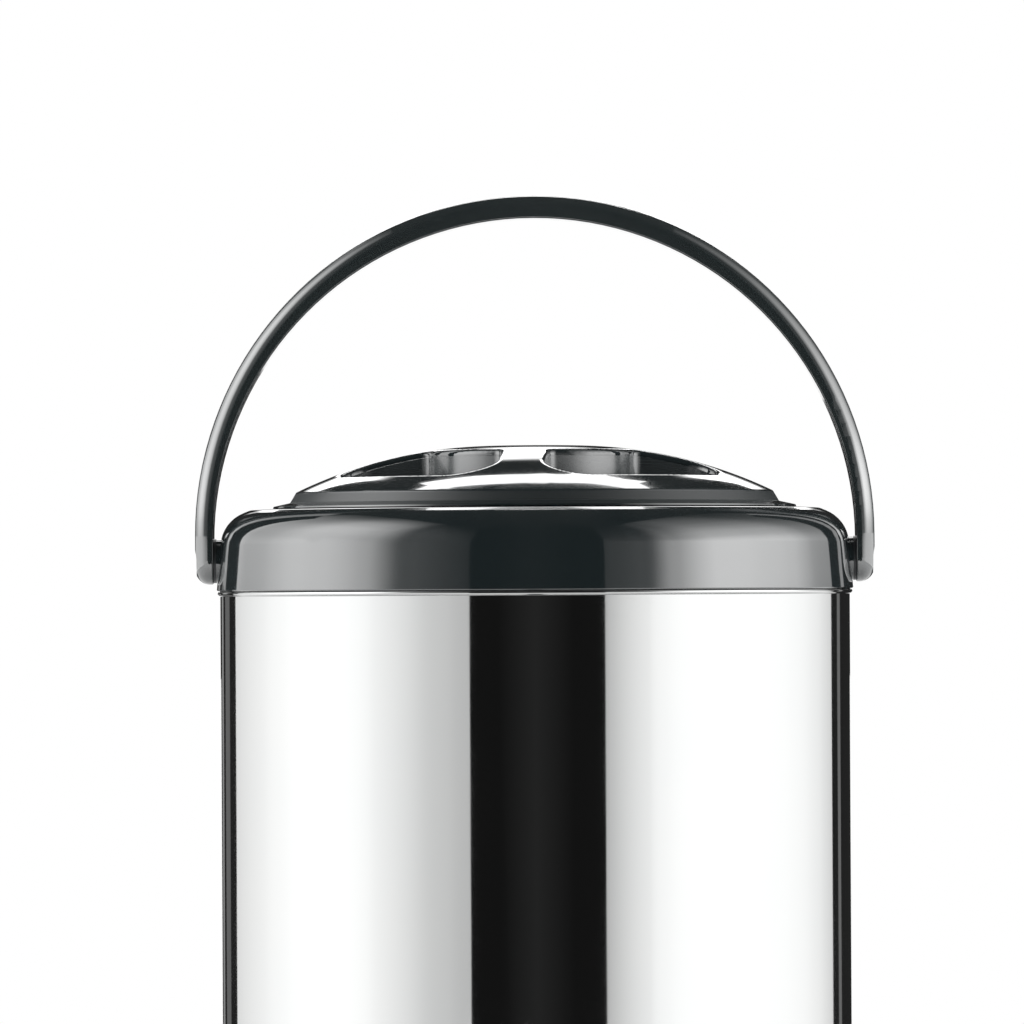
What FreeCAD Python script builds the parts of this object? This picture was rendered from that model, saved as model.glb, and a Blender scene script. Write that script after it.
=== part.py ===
import FreeCAD, Part
import math
import os
import re

import Sketcher

# An insulated drinks barrel of about ten litres. A polished steel shell and a steel liner with
# foam between them, a moulded ring at each end, a screw lid with four finger wells, a swinging
# bail and a self-closing tap. +Z is up, the tap faces -Y and the bail turns about X. The origin
# is on the barrel's axis, in the plane that the foot ring stands on.

Vector = FreeCAD.Vector

# Measures that differ by less than this count as the same.
HAIR = 0.01

# Driving dimensions in millimetres and degrees.
SIZES = {
    # clearances
    "seam_gap": 0.2,
    "running_gap": 0.05,
    "turning_gap": 0.1,
    "lid_gap": 0.3,
    # steel shell
    "shell_radius": 132.5,
    "shell_wall": 0.8,
    "shell_visible": 265,
    "rim_grip": 3,
    # shoulder ring
    "ring_height": 34.4,
    "ring_lip": 1.5,
    "ring_draft": 1.6,
    "ring_round": 15.5,
    "ring_round_turn": 68,
    "ring_brim_round": 2.5,
    "ring_top_rise": 0.4,
    "ring_wall": 3,
    "ring_edge": 0.5,
    "spigot_wall": 2.2,
    "spigot_depth": 10,
    "neck_inset": 35.5,
    "neck_wall": 3,
    "neck_depth": 25,
    "ledge_width": 6,
    "ledge_thickness": 3,
    # quick thread between neck and lid
    "thread_starts": 3,
    "thread_lead": 18,
    "thread_sweep": 100,
    "thread_depth": 2.2,
    "thread_root": 3,
    "thread_crest": 1.6,
    "thread_top": 4.5,
    "thread_clearance": 0.6,
    "thread_sunk": 0.3,
    # liner and insulation
    "insulation": 21.7,
    "liner_wall": 0.8,
    "liner_drop": 10,
    "liner_corner": 14,
    "liner_shoulder": 9,
    "mouth_neck": 5,
    "mouth_margin": 0.5,
    "liner_seal_thickness": 2,
    # base
    "base_height": 50,
    "base_round": 8,
    "base_lift": 2,
    "base_wall": 4.7,
    "ledge_height": 12,
    "ledge_plate": 4,
    "ledge_reach": 30,
    "foot_inset": 10,
    "foot_width": 10,
    "foot_depth": 2.5,
    "foot_rim": 2,
    "plate_thickness": 1.2,
    "base_screw_count": 6,
    "base_screw_inset": 26,
    "base_screw_radius": 2,
    "base_screw_head": 4,
    "base_screw_head_height": 2.4,
    "screw_clearance": 0.2,
    # bail and its pivots
    "boss_radius": 9.3,
    "boss_land": 0.5,
    "boss_root": 7,
    "boss_inset": 14,
    "boss_screw": 2.4,
    "washer_thickness": 1.1,
    "bail_leg": 7.8,
    "bail_crown": 9.9,
    "bail_rise": 10.4,
    "bail_depth": 20,
    "bail_edge": 6.4,
    "bail_inner_edge": 0.8,
    "pivot_radius": 4,
    "pivot_head": 6.2,
    "pivot_head_height": 2.4,
    "pivot_sunk": 1,
    "pivot_length": 12,
    "pivot_socket": 2,
    # lid
    "lid_clocking": -5,
    "lid_overhang": 13.2,
    "lid_land": 0.8,
    "lid_crown": 26,
    "lid_flat": 16,
    "lid_brow_inset": 9.8,
    "lid_brow_height": 6.7,
    "lid_brow_run": 2.6,
    "lid_brow_round": 1.2,
    "lid_rim_rise": 2.3,
    "lid_lip": 0.8,
    "lid_lip_lean": 0.3,
    "lid_lip_edge": 0.3,
    "lid_wall": 2.5,
    "well_width": 40,
    "spoke_half": 9.75,
    "well_inset": 26.2,
    "well_corner": 16,
    "hub_corner": 5,
    "well_floor": 4,
    "well_edge": 2.2,
    "pan_wall": 3.2,
    "pan_floor": 2.4,
    "pan_step": 1.2,
    "pan_spigot": 3,
    "pan_chamfer": 1,
    "gasket_width": 8,
    "gasket_thickness": 3,
    "vent_radius": 5,
    "vent_tube_wall": 2.5,
    "vent_cap": 8.5,
    "vent_cap_height": 2.4,
    "vent_stem": 20,
    # tap
    "tap_clearance": 2.3,
    "tap_reach": 48,
    "tap_washer": 3.5,
    "flange_radius": 18,
    "flange_thickness": 3,
    "arm_radius": 11,
    "shank_radius": 9.5,
    "shank_tail": 3.3,
    "flow_radius": 6,
    "sleeve_wall": 4,
    "inner_washer_radius": 17.5,
    "inner_washer": 4.5,
    "nut_flats": 30,
    "nut_thickness": 8,
    "barrel_radius": 15,
    "barrel_down": 12,
    "barrel_up": 12,
    "collar_height": 10,
    "collar_step": 0.8,
    "chamber_radius": 11,
    "seat_drop": 8,
    "spout_radius": 9.5,
    "spout_flare": 2,
    "spout_bore": 7,
    "spout_drop": 42,
    "bonnet_wall": 2.6,
    "bonnet_top": 3.8,
    "bonnet_chamfer": 2.4,
    "flute_radius": 1.6,
    "flute_count": 16,
    "ring_groove": 2,
    "o_ring": 0.9,
    # valve stem, seat cup and spring
    "stem_radius": 2.5,
    "stem_gap": 0.3,
    "cup_radius": 9.2,
    "cup_height": 6.7,
    "cup_socket": 3,
    "collar_radius": 6.5,
    "collar_thickness": 1.5,
    "spring_radius": 5.2,
    "spring_wire": 0.6,
    "spring_turns": 7,
    "head_radius": 4.5,
    "head_height": 3,
    # lever
    "pin_radius": 2,
    "lever_arm": 10,
    "pin_rise": 6,
    "ear_radius": 5.5,
    "ear_wall": 3.5,
    "ear_gap": 0.2,
    "hub_width": 9,
    "hub_round": 4.2,
    "fork_half": 1.5,
    "fork_arm": 1.5,
    "head_gap": 0.4,
    "slot_end": 6.2,
    "paddle_reach": 60,
    "paddle_rise": 17,
    "paddle_root": 6.8,
    "paddle_bend": 10.5,
    "paddle_thickness": 5,
    "paddle_width": 20,
    "paddle_neck": 9,
    "paddle_flare": 14,
}

# Levels and radii that several pieces share, written once as sums of the driving dimensions.
RING_FOOT = "(base_height + shell_visible)"
RING_TOP = "(base_height + shell_visible + ring_height)"
RING_RADIUS = "(shell_radius + ring_lip)"
SHELL_BORE = "(shell_radius - shell_wall)"
LINER_RADIUS = f"({SHELL_BORE} - insulation)"
LINER_FLOOR = "(base_height - liner_drop)"
NECK_RADIUS = "(shell_radius - neck_inset)"
SPIGOT_OUTER = "(shell_radius - shell_wall - seam_gap)"
SPIGOT_INNER = "(shell_radius - shell_wall - seam_gap - spigot_wall)"
NECK_FOOT = "(ring_height - neck_depth - ledge_thickness)"
MOUTH_RADIUS = f"({NECK_RADIUS} - ledge_width + mouth_margin)"
LIP_TOP = f"({RING_FOOT} + {NECK_FOOT} - liner_seal_thickness)"
LIP_RADIUS = f"({NECK_RADIUS} + neck_wall)"
LID_LEVEL = f"({RING_TOP} + lid_gap)"
LID_RADIUS = f"({NECK_RADIUS} + lid_overhang)"
BROW_RADIUS = f"({LID_RADIUS} - lid_brow_inset)"
WELL_RADIUS = f"({LID_RADIUS} - well_inset)"
PAN_RADIUS = f"({NECK_RADIUS} - thread_depth - thread_clearance)"
PAN_BORE = f"({PAN_RADIUS} - pan_wall)"
PAN_FOOT = "(-(neck_depth + lid_gap - gasket_thickness - 2 * turning_gap))"
PIVOT_RISE = "(rim_grip + boss_land + boss_radius)"
BAIL_INNER = f"({RING_RADIUS} + washer_thickness + turning_gap)"
BAIL_OUTER = f"({BAIL_INNER} + bail_leg)"
PLATE_TOP = "(ledge_height + plate_thickness)"
BASE_OPENING = f"({RING_RADIUS} - ledge_reach)"
SCREW_CIRCLE = f"({RING_RADIUS} - base_screw_inset)"
FOOT_OUTER = f"({RING_RADIUS} - foot_inset)"
FOOT_INNER = f"({FOOT_OUTER} - foot_width)"
TAP_FLANGE = "(shell_radius + tap_washer)"
NUT_FACE = f"({LINER_RADIUS} - seam_gap - inner_washer)"
SHANK_END = f"({NUT_FACE} - nut_thickness - shank_tail)"
TAP_AXIS = "(shell_radius + tap_reach)"
COLLAR_TOP = "(barrel_up + collar_height)"
BONNET_TOP = f"({COLLAR_TOP} + seam_gap + bonnet_top)"
PIN_LEVEL = f"({BONNET_TOP} + pin_rise)"
CUP_FOOT = "(turning_gap - seat_drop)"
SPRING_SEAT = f"({CUP_FOOT} + cup_height + collar_thickness)"
HEAD_FOOT = f"({PIN_LEVEL} + fork_half + head_gap)"
DOME_RADIUS = (
    f"((({BROW_RADIUS} - lid_flat)^2 + (lid_crown - lid_brow_height)^2)"
    " / (2 * (lid_crown - lid_brow_height)))"
)

PAST_WALL = "(2 * shell_radius)"
PAST_LEGS = f"(2 * {BAIL_OUTER} + bail_leg)"
TAP_HOLE = "(shank_radius + seam_gap)"
SLEEVE_RADIUS = f"({TAP_HOLE} + sleeve_wall)"
TAP_LEVEL = f"(base_height + spigot_depth + {SLEEVE_RADIUS} + tap_clearance)"
EAR_SPAN = "(hub_width + 2 * ear_gap)"
VENT_PLACE = f"({WELL_RADIUS} - well_width / 2)"
VENT_X = f"({VENT_PLACE} * cos(45))"
VENT_Y = f"({VENT_PLACE} * sin(45))"

# A well fills the quarter between two crossed spokes.
WELLS = "4"

document = FreeCAD.newDocument("drinks_barrel")
sheet = document.addObject("Spreadsheet::Sheet", "Sizes")
for row, (alias, number) in enumerate(SIZES.items(), start=1):
    sheet.set(f"A{row}", alias)
    sheet.set(f"B{row}", str(number))
    sheet.setAlias(f"B{row}", alias)
document.recompute()

subparts = []


def bound(text):
    """The expression with each size's name pointing at its cell."""
    return re.sub(r"\b[a-z]\w+\b(?!\()", lambda word: "Sizes." + word.group(), text)


def value(text):
    """The number that an expression has now."""
    return float(sheet.evalExpression(bound(text)))


def new_body(label, lift="0", shift="0"):
    """An empty body whose frame stands on the barrel's axis, lifted along Z and moved along Y."""
    body = document.addObject("PartDesign::Body", label)
    body.Label = label
    body.setExpression("Placement.Base.z", bound(lift))
    body.setExpression("Placement.Base.y", bound(shift))
    subparts.append(body)
    return body


def new_sketch(body, role, name, offset=None):
    """A sketch on one of the body's own origin planes, raised from it by an expression."""
    sketch = body.newObject("Sketcher::SketchObject", name)
    plane = next(item for item in body.Origin.OriginFeatures if item.Role == role)
    sketch.AttachmentSupport = [(plane, "")]
    sketch.MapMode = "FlatFace"
    if offset is not None:
        sketch.setExpression("AttachmentOffset.Base.z", bound(offset))
    return sketch


def hold(sketch, kind, geometry, point, text):
    """Bind one coordinate of a point to an expression."""
    if text == "0":
        axis = -2 if kind == "DistanceX" else -1
        sketch.addConstraint(Sketcher.Constraint("PointOnObject", geometry, point, axis))
        return
    index = sketch.addConstraint(Sketcher.Constraint(kind, geometry, point, value(text)))
    sketch.setExpression(f"Constraints[{index}]", bound(text))


def outline(sketch, corners, arcs=None):
    """A closed outline through the corners. arcs maps the number of the corner that a round
    stretch leaves from to its radius and its turn: 1 turns left, -1 turns right."""
    arcs = arcs or {}
    points = [Vector(value(x), value(y), 0) for x, y in corners]
    runs = []
    for number, start in enumerate(points):
        end = points[(number + 1) % len(points)]
        if number not in arcs:
            line = sketch.addGeometry(Part.LineSegment(start, end), False)
            runs.append((line, 1, 2))
            continue
        radius, turn = value(arcs[number][0]), arcs[number][1]
        chord = end - start
        height = math.sqrt(max(radius**2 - (chord.Length / 2) ** 2, 0))
        side = Vector(-chord.y, chord.x, 0).normalize() * turn
        centre = (start + end) * 0.5 + side * height
        circle = Part.Circle(centre, Vector(0, 0, 1), radius)
        first, last = (start, end) if turn > 0 else (end, start)
        begin = math.atan2(first.y - centre.y, first.x - centre.x)
        finish = math.atan2(last.y - centre.y, last.x - centre.x)
        arc = sketch.addGeometry(Part.ArcOfCircle(circle, begin, finish), False)
        runs.append((arc, 1, 2) if turn > 0 else (arc, 2, 1))
    for number, (geometry, _, far) in enumerate(runs):
        following, near, _ = runs[(number + 1) % len(runs)]
        sketch.addConstraint(Sketcher.Constraint("Coincident", geometry, far, following, near))
    for number, (x, y) in enumerate(corners):
        geometry, near, _ = runs[number]
        hold(sketch, "DistanceX", geometry, near, x)
        hold(sketch, "DistanceY", geometry, near, y)
    for number, (radius, _) in arcs.items():
        constraint = Sketcher.Constraint("Radius", runs[number][0], value(radius))
        index = sketch.addConstraint(constraint)
        sketch.setExpression(f"Constraints[{index}]", bound(radius))
    if sketch.solve() != 0:
        raise RuntimeError(f"{sketch.Label} can't be drawn at these sizes")
    return sketch


def circle(sketch, x, y, radius):
    """A circle whose centre and radius are bound to expressions."""
    shape = Part.Circle(Vector(value(x), value(y), 0), Vector(0, 0, 1), value(radius))
    geometry = sketch.addGeometry(shape, False)
    hold(sketch, "DistanceX", geometry, 3, x)
    hold(sketch, "DistanceY", geometry, 3, y)
    index = sketch.addConstraint(Sketcher.Constraint("Radius", geometry, value(radius)))
    sketch.setExpression(f"Constraints[{index}]", bound(radius))
    return sketch


def settle(body, feature, cuts):
    """Recompute after a feature and refuse one that failed or changed nothing."""
    before = 0 if body.Shape.isNull() else body.Shape.Volume
    body.Tip = feature
    document.recompute()
    if "Invalid" in feature.State or "Error" in feature.State:
        raise RuntimeError(f"{body.Label}: {feature.Label} failed")
    change = body.Shape.Volume - before
    if cuts and change > -HAIR or not cuts and change < HAIR:
        raise RuntimeError(f"{body.Label}: {feature.Label} changed {change:.4f} mm3")
    return feature


def spin(body, sketch, axis="V_Axis", cuts=False):
    """A full turn of the sketch about its own upright or level axis."""
    kind = "PartDesign::Groove" if cuts else "PartDesign::Revolution"
    feature = body.newObject(kind, sketch.Name + "_turned")
    feature.Profile = sketch
    feature.ReferenceAxis = (sketch, [axis])
    feature.Angle = 360
    return settle(body, feature, cuts)


def pad(body, sketch, length, both=False, back=False):
    """Material from the sketch, to one side of it or half to each."""
    feature = body.newObject("PartDesign::Pad", sketch.Name + "_raised")
    feature.Profile = sketch
    feature.Midplane = both
    feature.Reversed = back
    feature.setExpression("Length", bound(length))
    return settle(body, feature, False)


def pocket(body, sketch, length, both=False, back=False):
    """A cut from the sketch, to one side of it or half to each."""
    feature = body.newObject("PartDesign::Pocket", sketch.Name + "_cut")
    feature.Profile = sketch
    feature.Midplane = both
    feature.Reversed = back
    feature.setExpression("Length", bound(length))
    return settle(body, feature, True)


def around(body, feature, sketch, axis, count, cuts):
    """Copies of a feature evenly round the body's Z axis, which is this axis of its sketch."""
    pattern = body.newObject("PartDesign::PolarPattern", feature.Name + "_around")
    pattern.Originals = [feature]
    pattern.Axis = (sketch, [axis])
    pattern.Angle = 360
    pattern.setExpression("Occurrences", bound(count))
    return settle(body, pattern, cuts)


def mirror(body, feature, cuts):
    """The same feature on the other side of the body's YZ plane."""
    copy = body.newObject("PartDesign::Mirrored", feature.Name + "_mirrored")
    copy.Originals = [feature]
    plane = next(item for item in body.Origin.OriginFeatures if item.Role == "YZ_Plane")
    copy.MirrorPlane = (plane, [""])
    return settle(body, copy, cuts)


def thread(body, sketch):
    """Ridges of a quick thread: each climbs a part of a turn, one for each start."""
    feature = body.newObject("PartDesign::AdditiveHelix", sketch.Name + "_ridge")
    feature.Profile = sketch
    feature.ReferenceAxis = (sketch, ["V_Axis"])
    feature.Mode = "pitch-height-angle"
    feature.setExpression("Pitch", bound("thread_lead"))
    feature.setExpression("Height", bound("thread_lead * thread_sweep / 360"))
    settle(body, feature, False)
    return around(body, feature, sketch, "V_Axis", "thread_starts", False)


def round_edges(body, picks, radius, kind="PartDesign::Fillet"):
    """Round or bevel the edges that the test picks."""
    base = body.Tip
    names = [f"Edge{n}" for n, edge in enumerate(base.Shape.Edges, start=1) if picks(edge)]
    if not names:
        raise RuntimeError(f"{body.Label}: no edge to finish")
    before = body.Shape.Volume
    feature = body.newObject(kind, f"{body.Label}_edges_{len(body.Group)}")
    feature.Base = (base, names)
    field = "Radius" if kind.endswith("Fillet") else "Size"
    feature.setExpression(field, bound(radius))
    body.Tip = feature
    document.recompute()
    if "Invalid" in feature.State or abs(body.Shape.Volume - before) < HAIR:
        raise RuntimeError(f"{body.Label}: edges failed")
    return feature


def is_hoop(edge, radius, level):
    """Whether an edge is a full circle about Z with this radius at this level."""
    curve = edge.Curve
    if curve.TypeId != "Part::GeomCircle":
        return False
    near = abs(curve.Radius - radius) < HAIR and abs(curve.Center.z - level) < HAIR
    return near and 1 - abs(curve.Axis.z) < HAIR


def make_outer_shell():
    """Polished steel tube, its rims held in grooves of the two moulded rings."""
    body = new_body("outer_shell", "base_height - rim_grip")
    height = "shell_visible + 2 * rim_grip"
    wall = new_sketch(body, "XZ_Plane", "shell_wall")
    inner, outer = SHELL_BORE, "shell_radius"
    outline(wall, [(inner, "0"), (outer, "0"), (outer, height), (inner, height)])
    spin(body, wall)
    cut_tap_hole(body, f"{TAP_LEVEL} - base_height + rim_grip", TAP_HOLE)


def cut_tap_hole(body, level, radius):
    """The hole through the front wall for the tap's shank or for the sleeve round it."""
    hole = new_sketch(body, "XZ_Plane", body.Label + "_tap_hole")
    circle(hole, "0", level, radius)
    pocket(body, hole, PAST_WALL, back=True)


def make_shoulder_ring():
    """Moulded ring that caps the shell: rounded shoulder, spigot into the shell, threaded neck
    for the lid, a ledge for the lid's gasket and a boss on each side for the bail."""
    body = new_body("shoulder_ring", RING_FOOT)
    top_radius = f"({RING_RADIUS} - ring_draft)"
    top = "(ring_height - ring_top_rise)"
    shoulder = f"({top} - ring_round)"
    deck = f"({top} - ring_wall)"
    base = "(ring_draft + ring_round)"
    lean = f"(acos(ring_round / sqrt({base}^2 + {shoulder}^2)) - atan({shoulder} / {base}))"
    turned = f"({top_radius} - ring_round * (1 - cos(ring_round_turn)))"
    turned_level = f"({shoulder} + ring_round * sin(ring_round_turn))"
    brim_drop = "(ring_brim_round * (1 - sin(ring_round_turn)))"
    brim = f"({turned} - ({top} - {brim_drop} - {turned_level}) * tan(ring_round_turn))"
    section = new_sketch(body, "XZ_Plane", "ring_section")
    corners = [
        (RING_RADIUS, "0"),
        (f"{top_radius} - ring_round * (1 - cos({lean}))", f"{shoulder} + ring_round * sin({lean})"),
        (turned, turned_level),
        (brim, f"{top} - {brim_drop}"),
        (f"{brim} - ring_brim_round * cos(ring_round_turn)", top),
        (f"{LID_RADIUS} + lid_land", "ring_height"),
        (NECK_RADIUS, "ring_height"),
        (NECK_RADIUS, "ring_height - neck_depth"),
        (f"{NECK_RADIUS} - ledge_width", "ring_height - neck_depth"),
        (f"{NECK_RADIUS} - ledge_width", NECK_FOOT),
        (LIP_RADIUS, NECK_FOOT),
        (LIP_RADIUS, deck),
        (f"{top_radius} - ring_round", deck),
        (f"{top_radius} - ring_wall", shoulder),
        (SPIGOT_INNER, "-spigot_depth"),
        (SPIGOT_OUTER, "-spigot_depth"),
        (SPIGOT_OUTER, "rim_grip"),
        ("shell_radius + seam_gap", "rim_grip"),
        ("shell_radius + seam_gap", "0"),
    ]
    arcs = {1: ("ring_round", 1), 3: ("ring_brim_round", 1), 12: ("ring_round - ring_wall", -1)}
    outline(section, corners, arcs)
    spin(body, section)
    foot = value(RING_RADIUS), 0
    round_edges(body, lambda edge: is_hoop(edge, *foot), "ring_edge")

    boss = new_sketch(body, "YZ_Plane", "pivot_boss", f"{RING_RADIUS} - boss_root")
    circle(boss, "0", PIVOT_RISE, "boss_radius")
    mirror(body, pad(body, boss, "boss_root"), False)
    post = new_sketch(body, "YZ_Plane", "pivot_post", f"{RING_RADIUS} - boss_inset")
    circle(post, "0", PIVOT_RISE, "boss_root")
    mirror(body, pad(body, post, "boss_inset - boss_root"), False)
    hole = new_sketch(body, "YZ_Plane", "pivot_hole", RING_RADIUS)
    circle(hole, "0", PIVOT_RISE, "boss_screw")
    mirror(body, pocket(body, hole, "boss_inset"), True)

    ridge = new_sketch(body, "XZ_Plane", "neck_thread")
    level = "(ring_height - neck_depth + thread_top)"
    crest = f"{NECK_RADIUS} - thread_depth"
    root = f"{NECK_RADIUS} + thread_sunk"
    slope = "(thread_root - thread_crest) / 2"
    corners = [
        (root, f"{level} - thread_root / 2"),
        (root, f"{level} + thread_root / 2"),
        (crest, f"{level} + thread_root / 2 - {slope}"),
        (crest, f"{level} - thread_root / 2 + {slope}"),
    ]
    outline(ridge, corners)
    thread(body, ridge)


def make_inner_liner():
    """Steel tank with a rounded floor and a narrower mouth, its lip under the neck's foot."""
    body = new_body("inner_liner", LINER_FLOOR)
    lip = f"({LIP_TOP} - {LINER_FLOOR})"
    outer = f"({LINER_RADIUS} + liner_wall)"
    neck = f"({lip} - mouth_neck)"
    waist = f"({neck} - liner_shoulder)"
    section = new_sketch(body, "XZ_Plane", "liner_section")
    corners = [
        ("0", "-liner_wall"),
        (f"{LINER_RADIUS} - liner_corner", "-liner_wall"),
        (outer, "liner_corner"),
        (outer, f"{waist} + liner_wall"),
        (f"{MOUTH_RADIUS} + liner_wall", f"{neck} + liner_wall"),
        (f"{MOUTH_RADIUS} + liner_wall", f"{lip} - liner_wall"),
        (LIP_RADIUS, f"{lip} - liner_wall"),
        (LIP_RADIUS, lip),
        (MOUTH_RADIUS, lip),
        (MOUTH_RADIUS, neck),
        (LINER_RADIUS, waist),
        (LINER_RADIUS, "liner_corner"),
        (f"{LINER_RADIUS} - liner_corner", "0"),
        ("0", "0"),
    ]
    outline(section, corners, {1: ("liner_corner + liner_wall", 1), 11: ("liner_corner", -1)})
    spin(body, section)
    cut_tap_hole(body, f"{TAP_LEVEL} - {LINER_FLOOR}", TAP_HOLE)


def make_liner_seal():
    """Soft flat ring between the liner's lip and the foot of the neck."""
    body = new_body("liner_seal", LIP_TOP)
    section = new_sketch(body, "XZ_Plane", "seal_section")
    inner, outer, top = MOUTH_RADIUS, LIP_RADIUS, "liner_seal_thickness"
    outline(section, [(inner, "0"), (outer, "0"), (outer, top), (inner, top)])
    spin(body, section)


def make_foam_jacket():
    """Rigid foam that fills the space between shell and liner, from the bottom plate up."""
    body = new_body("foam_jacket", PLATE_TOP)
    wide = f"({SHELL_BORE} - seam_gap)"
    slim = f"({SPIGOT_INNER} - seam_gap)"
    low_step = f"(base_height + spigot_depth + seam_gap - {PLATE_TOP})"
    high_step = f"({RING_FOOT} - spigot_depth - seam_gap - {PLATE_TOP})"
    lip = f"({LIP_TOP} - {PLATE_TOP})"
    top = f"({lip} - liner_wall - seam_gap)"
    skin = "(liner_wall + seam_gap)"
    floor = f"({LINER_FLOOR} - {PLATE_TOP})"
    section = new_sketch(body, "XZ_Plane", "foam_section")
    corners = [
        ("0", "0"),
        (slim, "0"),
        (slim, low_step),
        (wide, low_step),
        (wide, high_step),
        (slim, high_step),
        (slim, top),
        (f"{MOUTH_RADIUS} + {skin}", top),
        (f"{MOUTH_RADIUS} + {skin}", f"{lip} - mouth_neck + {skin}"),
        (f"{LINER_RADIUS} + {skin}", f"{lip} - mouth_neck - liner_shoulder + {skin}"),
        (f"{LINER_RADIUS} + {skin}", f"{floor} + liner_corner"),
        (f"{LINER_RADIUS} - liner_corner", f"{floor} - {skin}"),
        ("0", f"{floor} - {skin}"),
    ]
    outline(section, corners, {10: (f"liner_corner + {skin}", -1)})
    spin(body, section)
    cut_tap_hole(body, f"{TAP_LEVEL} - {PLATE_TOP}", f"{SLEEVE_RADIUS} + seam_gap")


def make_base_ring():
    """Moulded ring that the shell stands in, with a ledge for the bottom plate, screw holes and
    a groove below for the foot ring."""
    body = new_body("base_ring")
    section = new_sketch(body, "XZ_Plane", "base_section")
    foot_top = "(base_lift + foot_depth)"
    corners = [
        (RING_RADIUS, "base_height"),
        ("shell_radius + seam_gap", "base_height"),
        ("shell_radius + seam_gap", "base_height - rim_grip"),
        (SPIGOT_OUTER, "base_height - rim_grip"),
        (SPIGOT_OUTER, "base_height + spigot_depth"),
        (SPIGOT_INNER, "base_height + spigot_depth"),
        (f"{RING_RADIUS} - base_wall", "ledge_height"),
        (BASE_OPENING, "ledge_height"),
        (BASE_OPENING, "ledge_height - ledge_plate"),
        (f"{FOOT_INNER} - foot_rim", "ledge_height - ledge_plate"),
        (f"{FOOT_INNER} - foot_rim", "base_lift"),
        (FOOT_INNER, "base_lift"),
        (FOOT_INNER, foot_top),
        (FOOT_OUTER, foot_top),
        (FOOT_OUTER, "base_lift"),
        (f"{RING_RADIUS} - base_round", "base_lift"),
        (RING_RADIUS, "base_lift + base_round"),
    ]
    outline(section, corners, {15: ("base_round", 1)})
    spin(body, section)
    brim = value(RING_RADIUS), value("base_height")
    round_edges(body, lambda edge: is_hoop(edge, *brim), "ring_edge")
    bore_base_screws(body, "ledge_height - ledge_plate", "ledge_plate")


def bore_base_screws(body, level, depth):
    """Clearance holes for the screws that draw the bottom plate to the ledge."""
    holes = new_sketch(body, "XY_Plane", body.Label + "_screw_hole", level)
    circle(holes, SCREW_CIRCLE, "0", "base_screw_radius + screw_clearance")
    hole = pocket(body, holes, depth, back=True)
    around(body, hole, holes, "N_Axis", "base_screw_count", True)


def make_bottom_plate():
    """Steel disc that closes the underside, screwed down on the base ring's ledge."""
    body = new_body("bottom_plate", "ledge_height")
    face = new_sketch(body, "XY_Plane", "plate_face")
    circle(face, "0", "0", f"{RING_RADIUS} - base_wall - seam_gap")
    pad(body, face, "plate_thickness")
    bore_base_screws(body, "0", "plate_thickness")


def make_foot_ring():
    """Rubber ring pressed in the base's groove; the barrel stands on it."""
    body = new_body("foot_ring")
    inner = f"{FOOT_INNER} + seam_gap"
    outer = f"{FOOT_OUTER} - seam_gap"
    top = "base_lift + foot_depth"
    section = new_sketch(body, "XZ_Plane", "foot_section")
    outline(section, [(inner, "0"), (outer, "0"), (outer, top), (inner, top)])
    spin(body, section)


def make_base_screws():
    """Pan-head screws under the ledge, all alike and all in one group."""
    shank = document.addObject("Part::Cylinder", "base_screw_shank")
    shank.setExpression("Radius", bound("base_screw_radius"))
    shank.setExpression("Height", bound("ledge_plate + plate_thickness + base_screw_head_height"))
    shank.setExpression("Placement.Base.x", bound(SCREW_CIRCLE))
    head = document.addObject("Part::Cylinder", "base_screw_head")
    head.setExpression("Radius", bound("base_screw_head"))
    head.setExpression("Height", bound("base_screw_head_height"))
    head.setExpression("Placement.Base.x", bound(SCREW_CIRCLE))
    screw = document.addObject("Part::Fuse", "base_screw")
    screw.Base = shank
    screw.Tool = head
    document.recompute()
    group = document.addObject("Part::Feature", "base_screws")
    group.Label = "base_screws"
    copies = []
    count = int(value("base_screw_count"))
    for number in range(count):
        copy = screw.Shape.copy()
        copy.rotate(Vector(0, 0, 0), Vector(0, 0, 1), 360 * number / count)
        copies.append(copy)
    group.Shape = Part.makeCompound(copies)
    lift = value("ledge_height - ledge_plate - base_screw_head_height - running_gap")
    group.Placement = FreeCAD.Placement(Vector(0, 0, lift), FreeCAD.Rotation())
    subparts.append(group)


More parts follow.
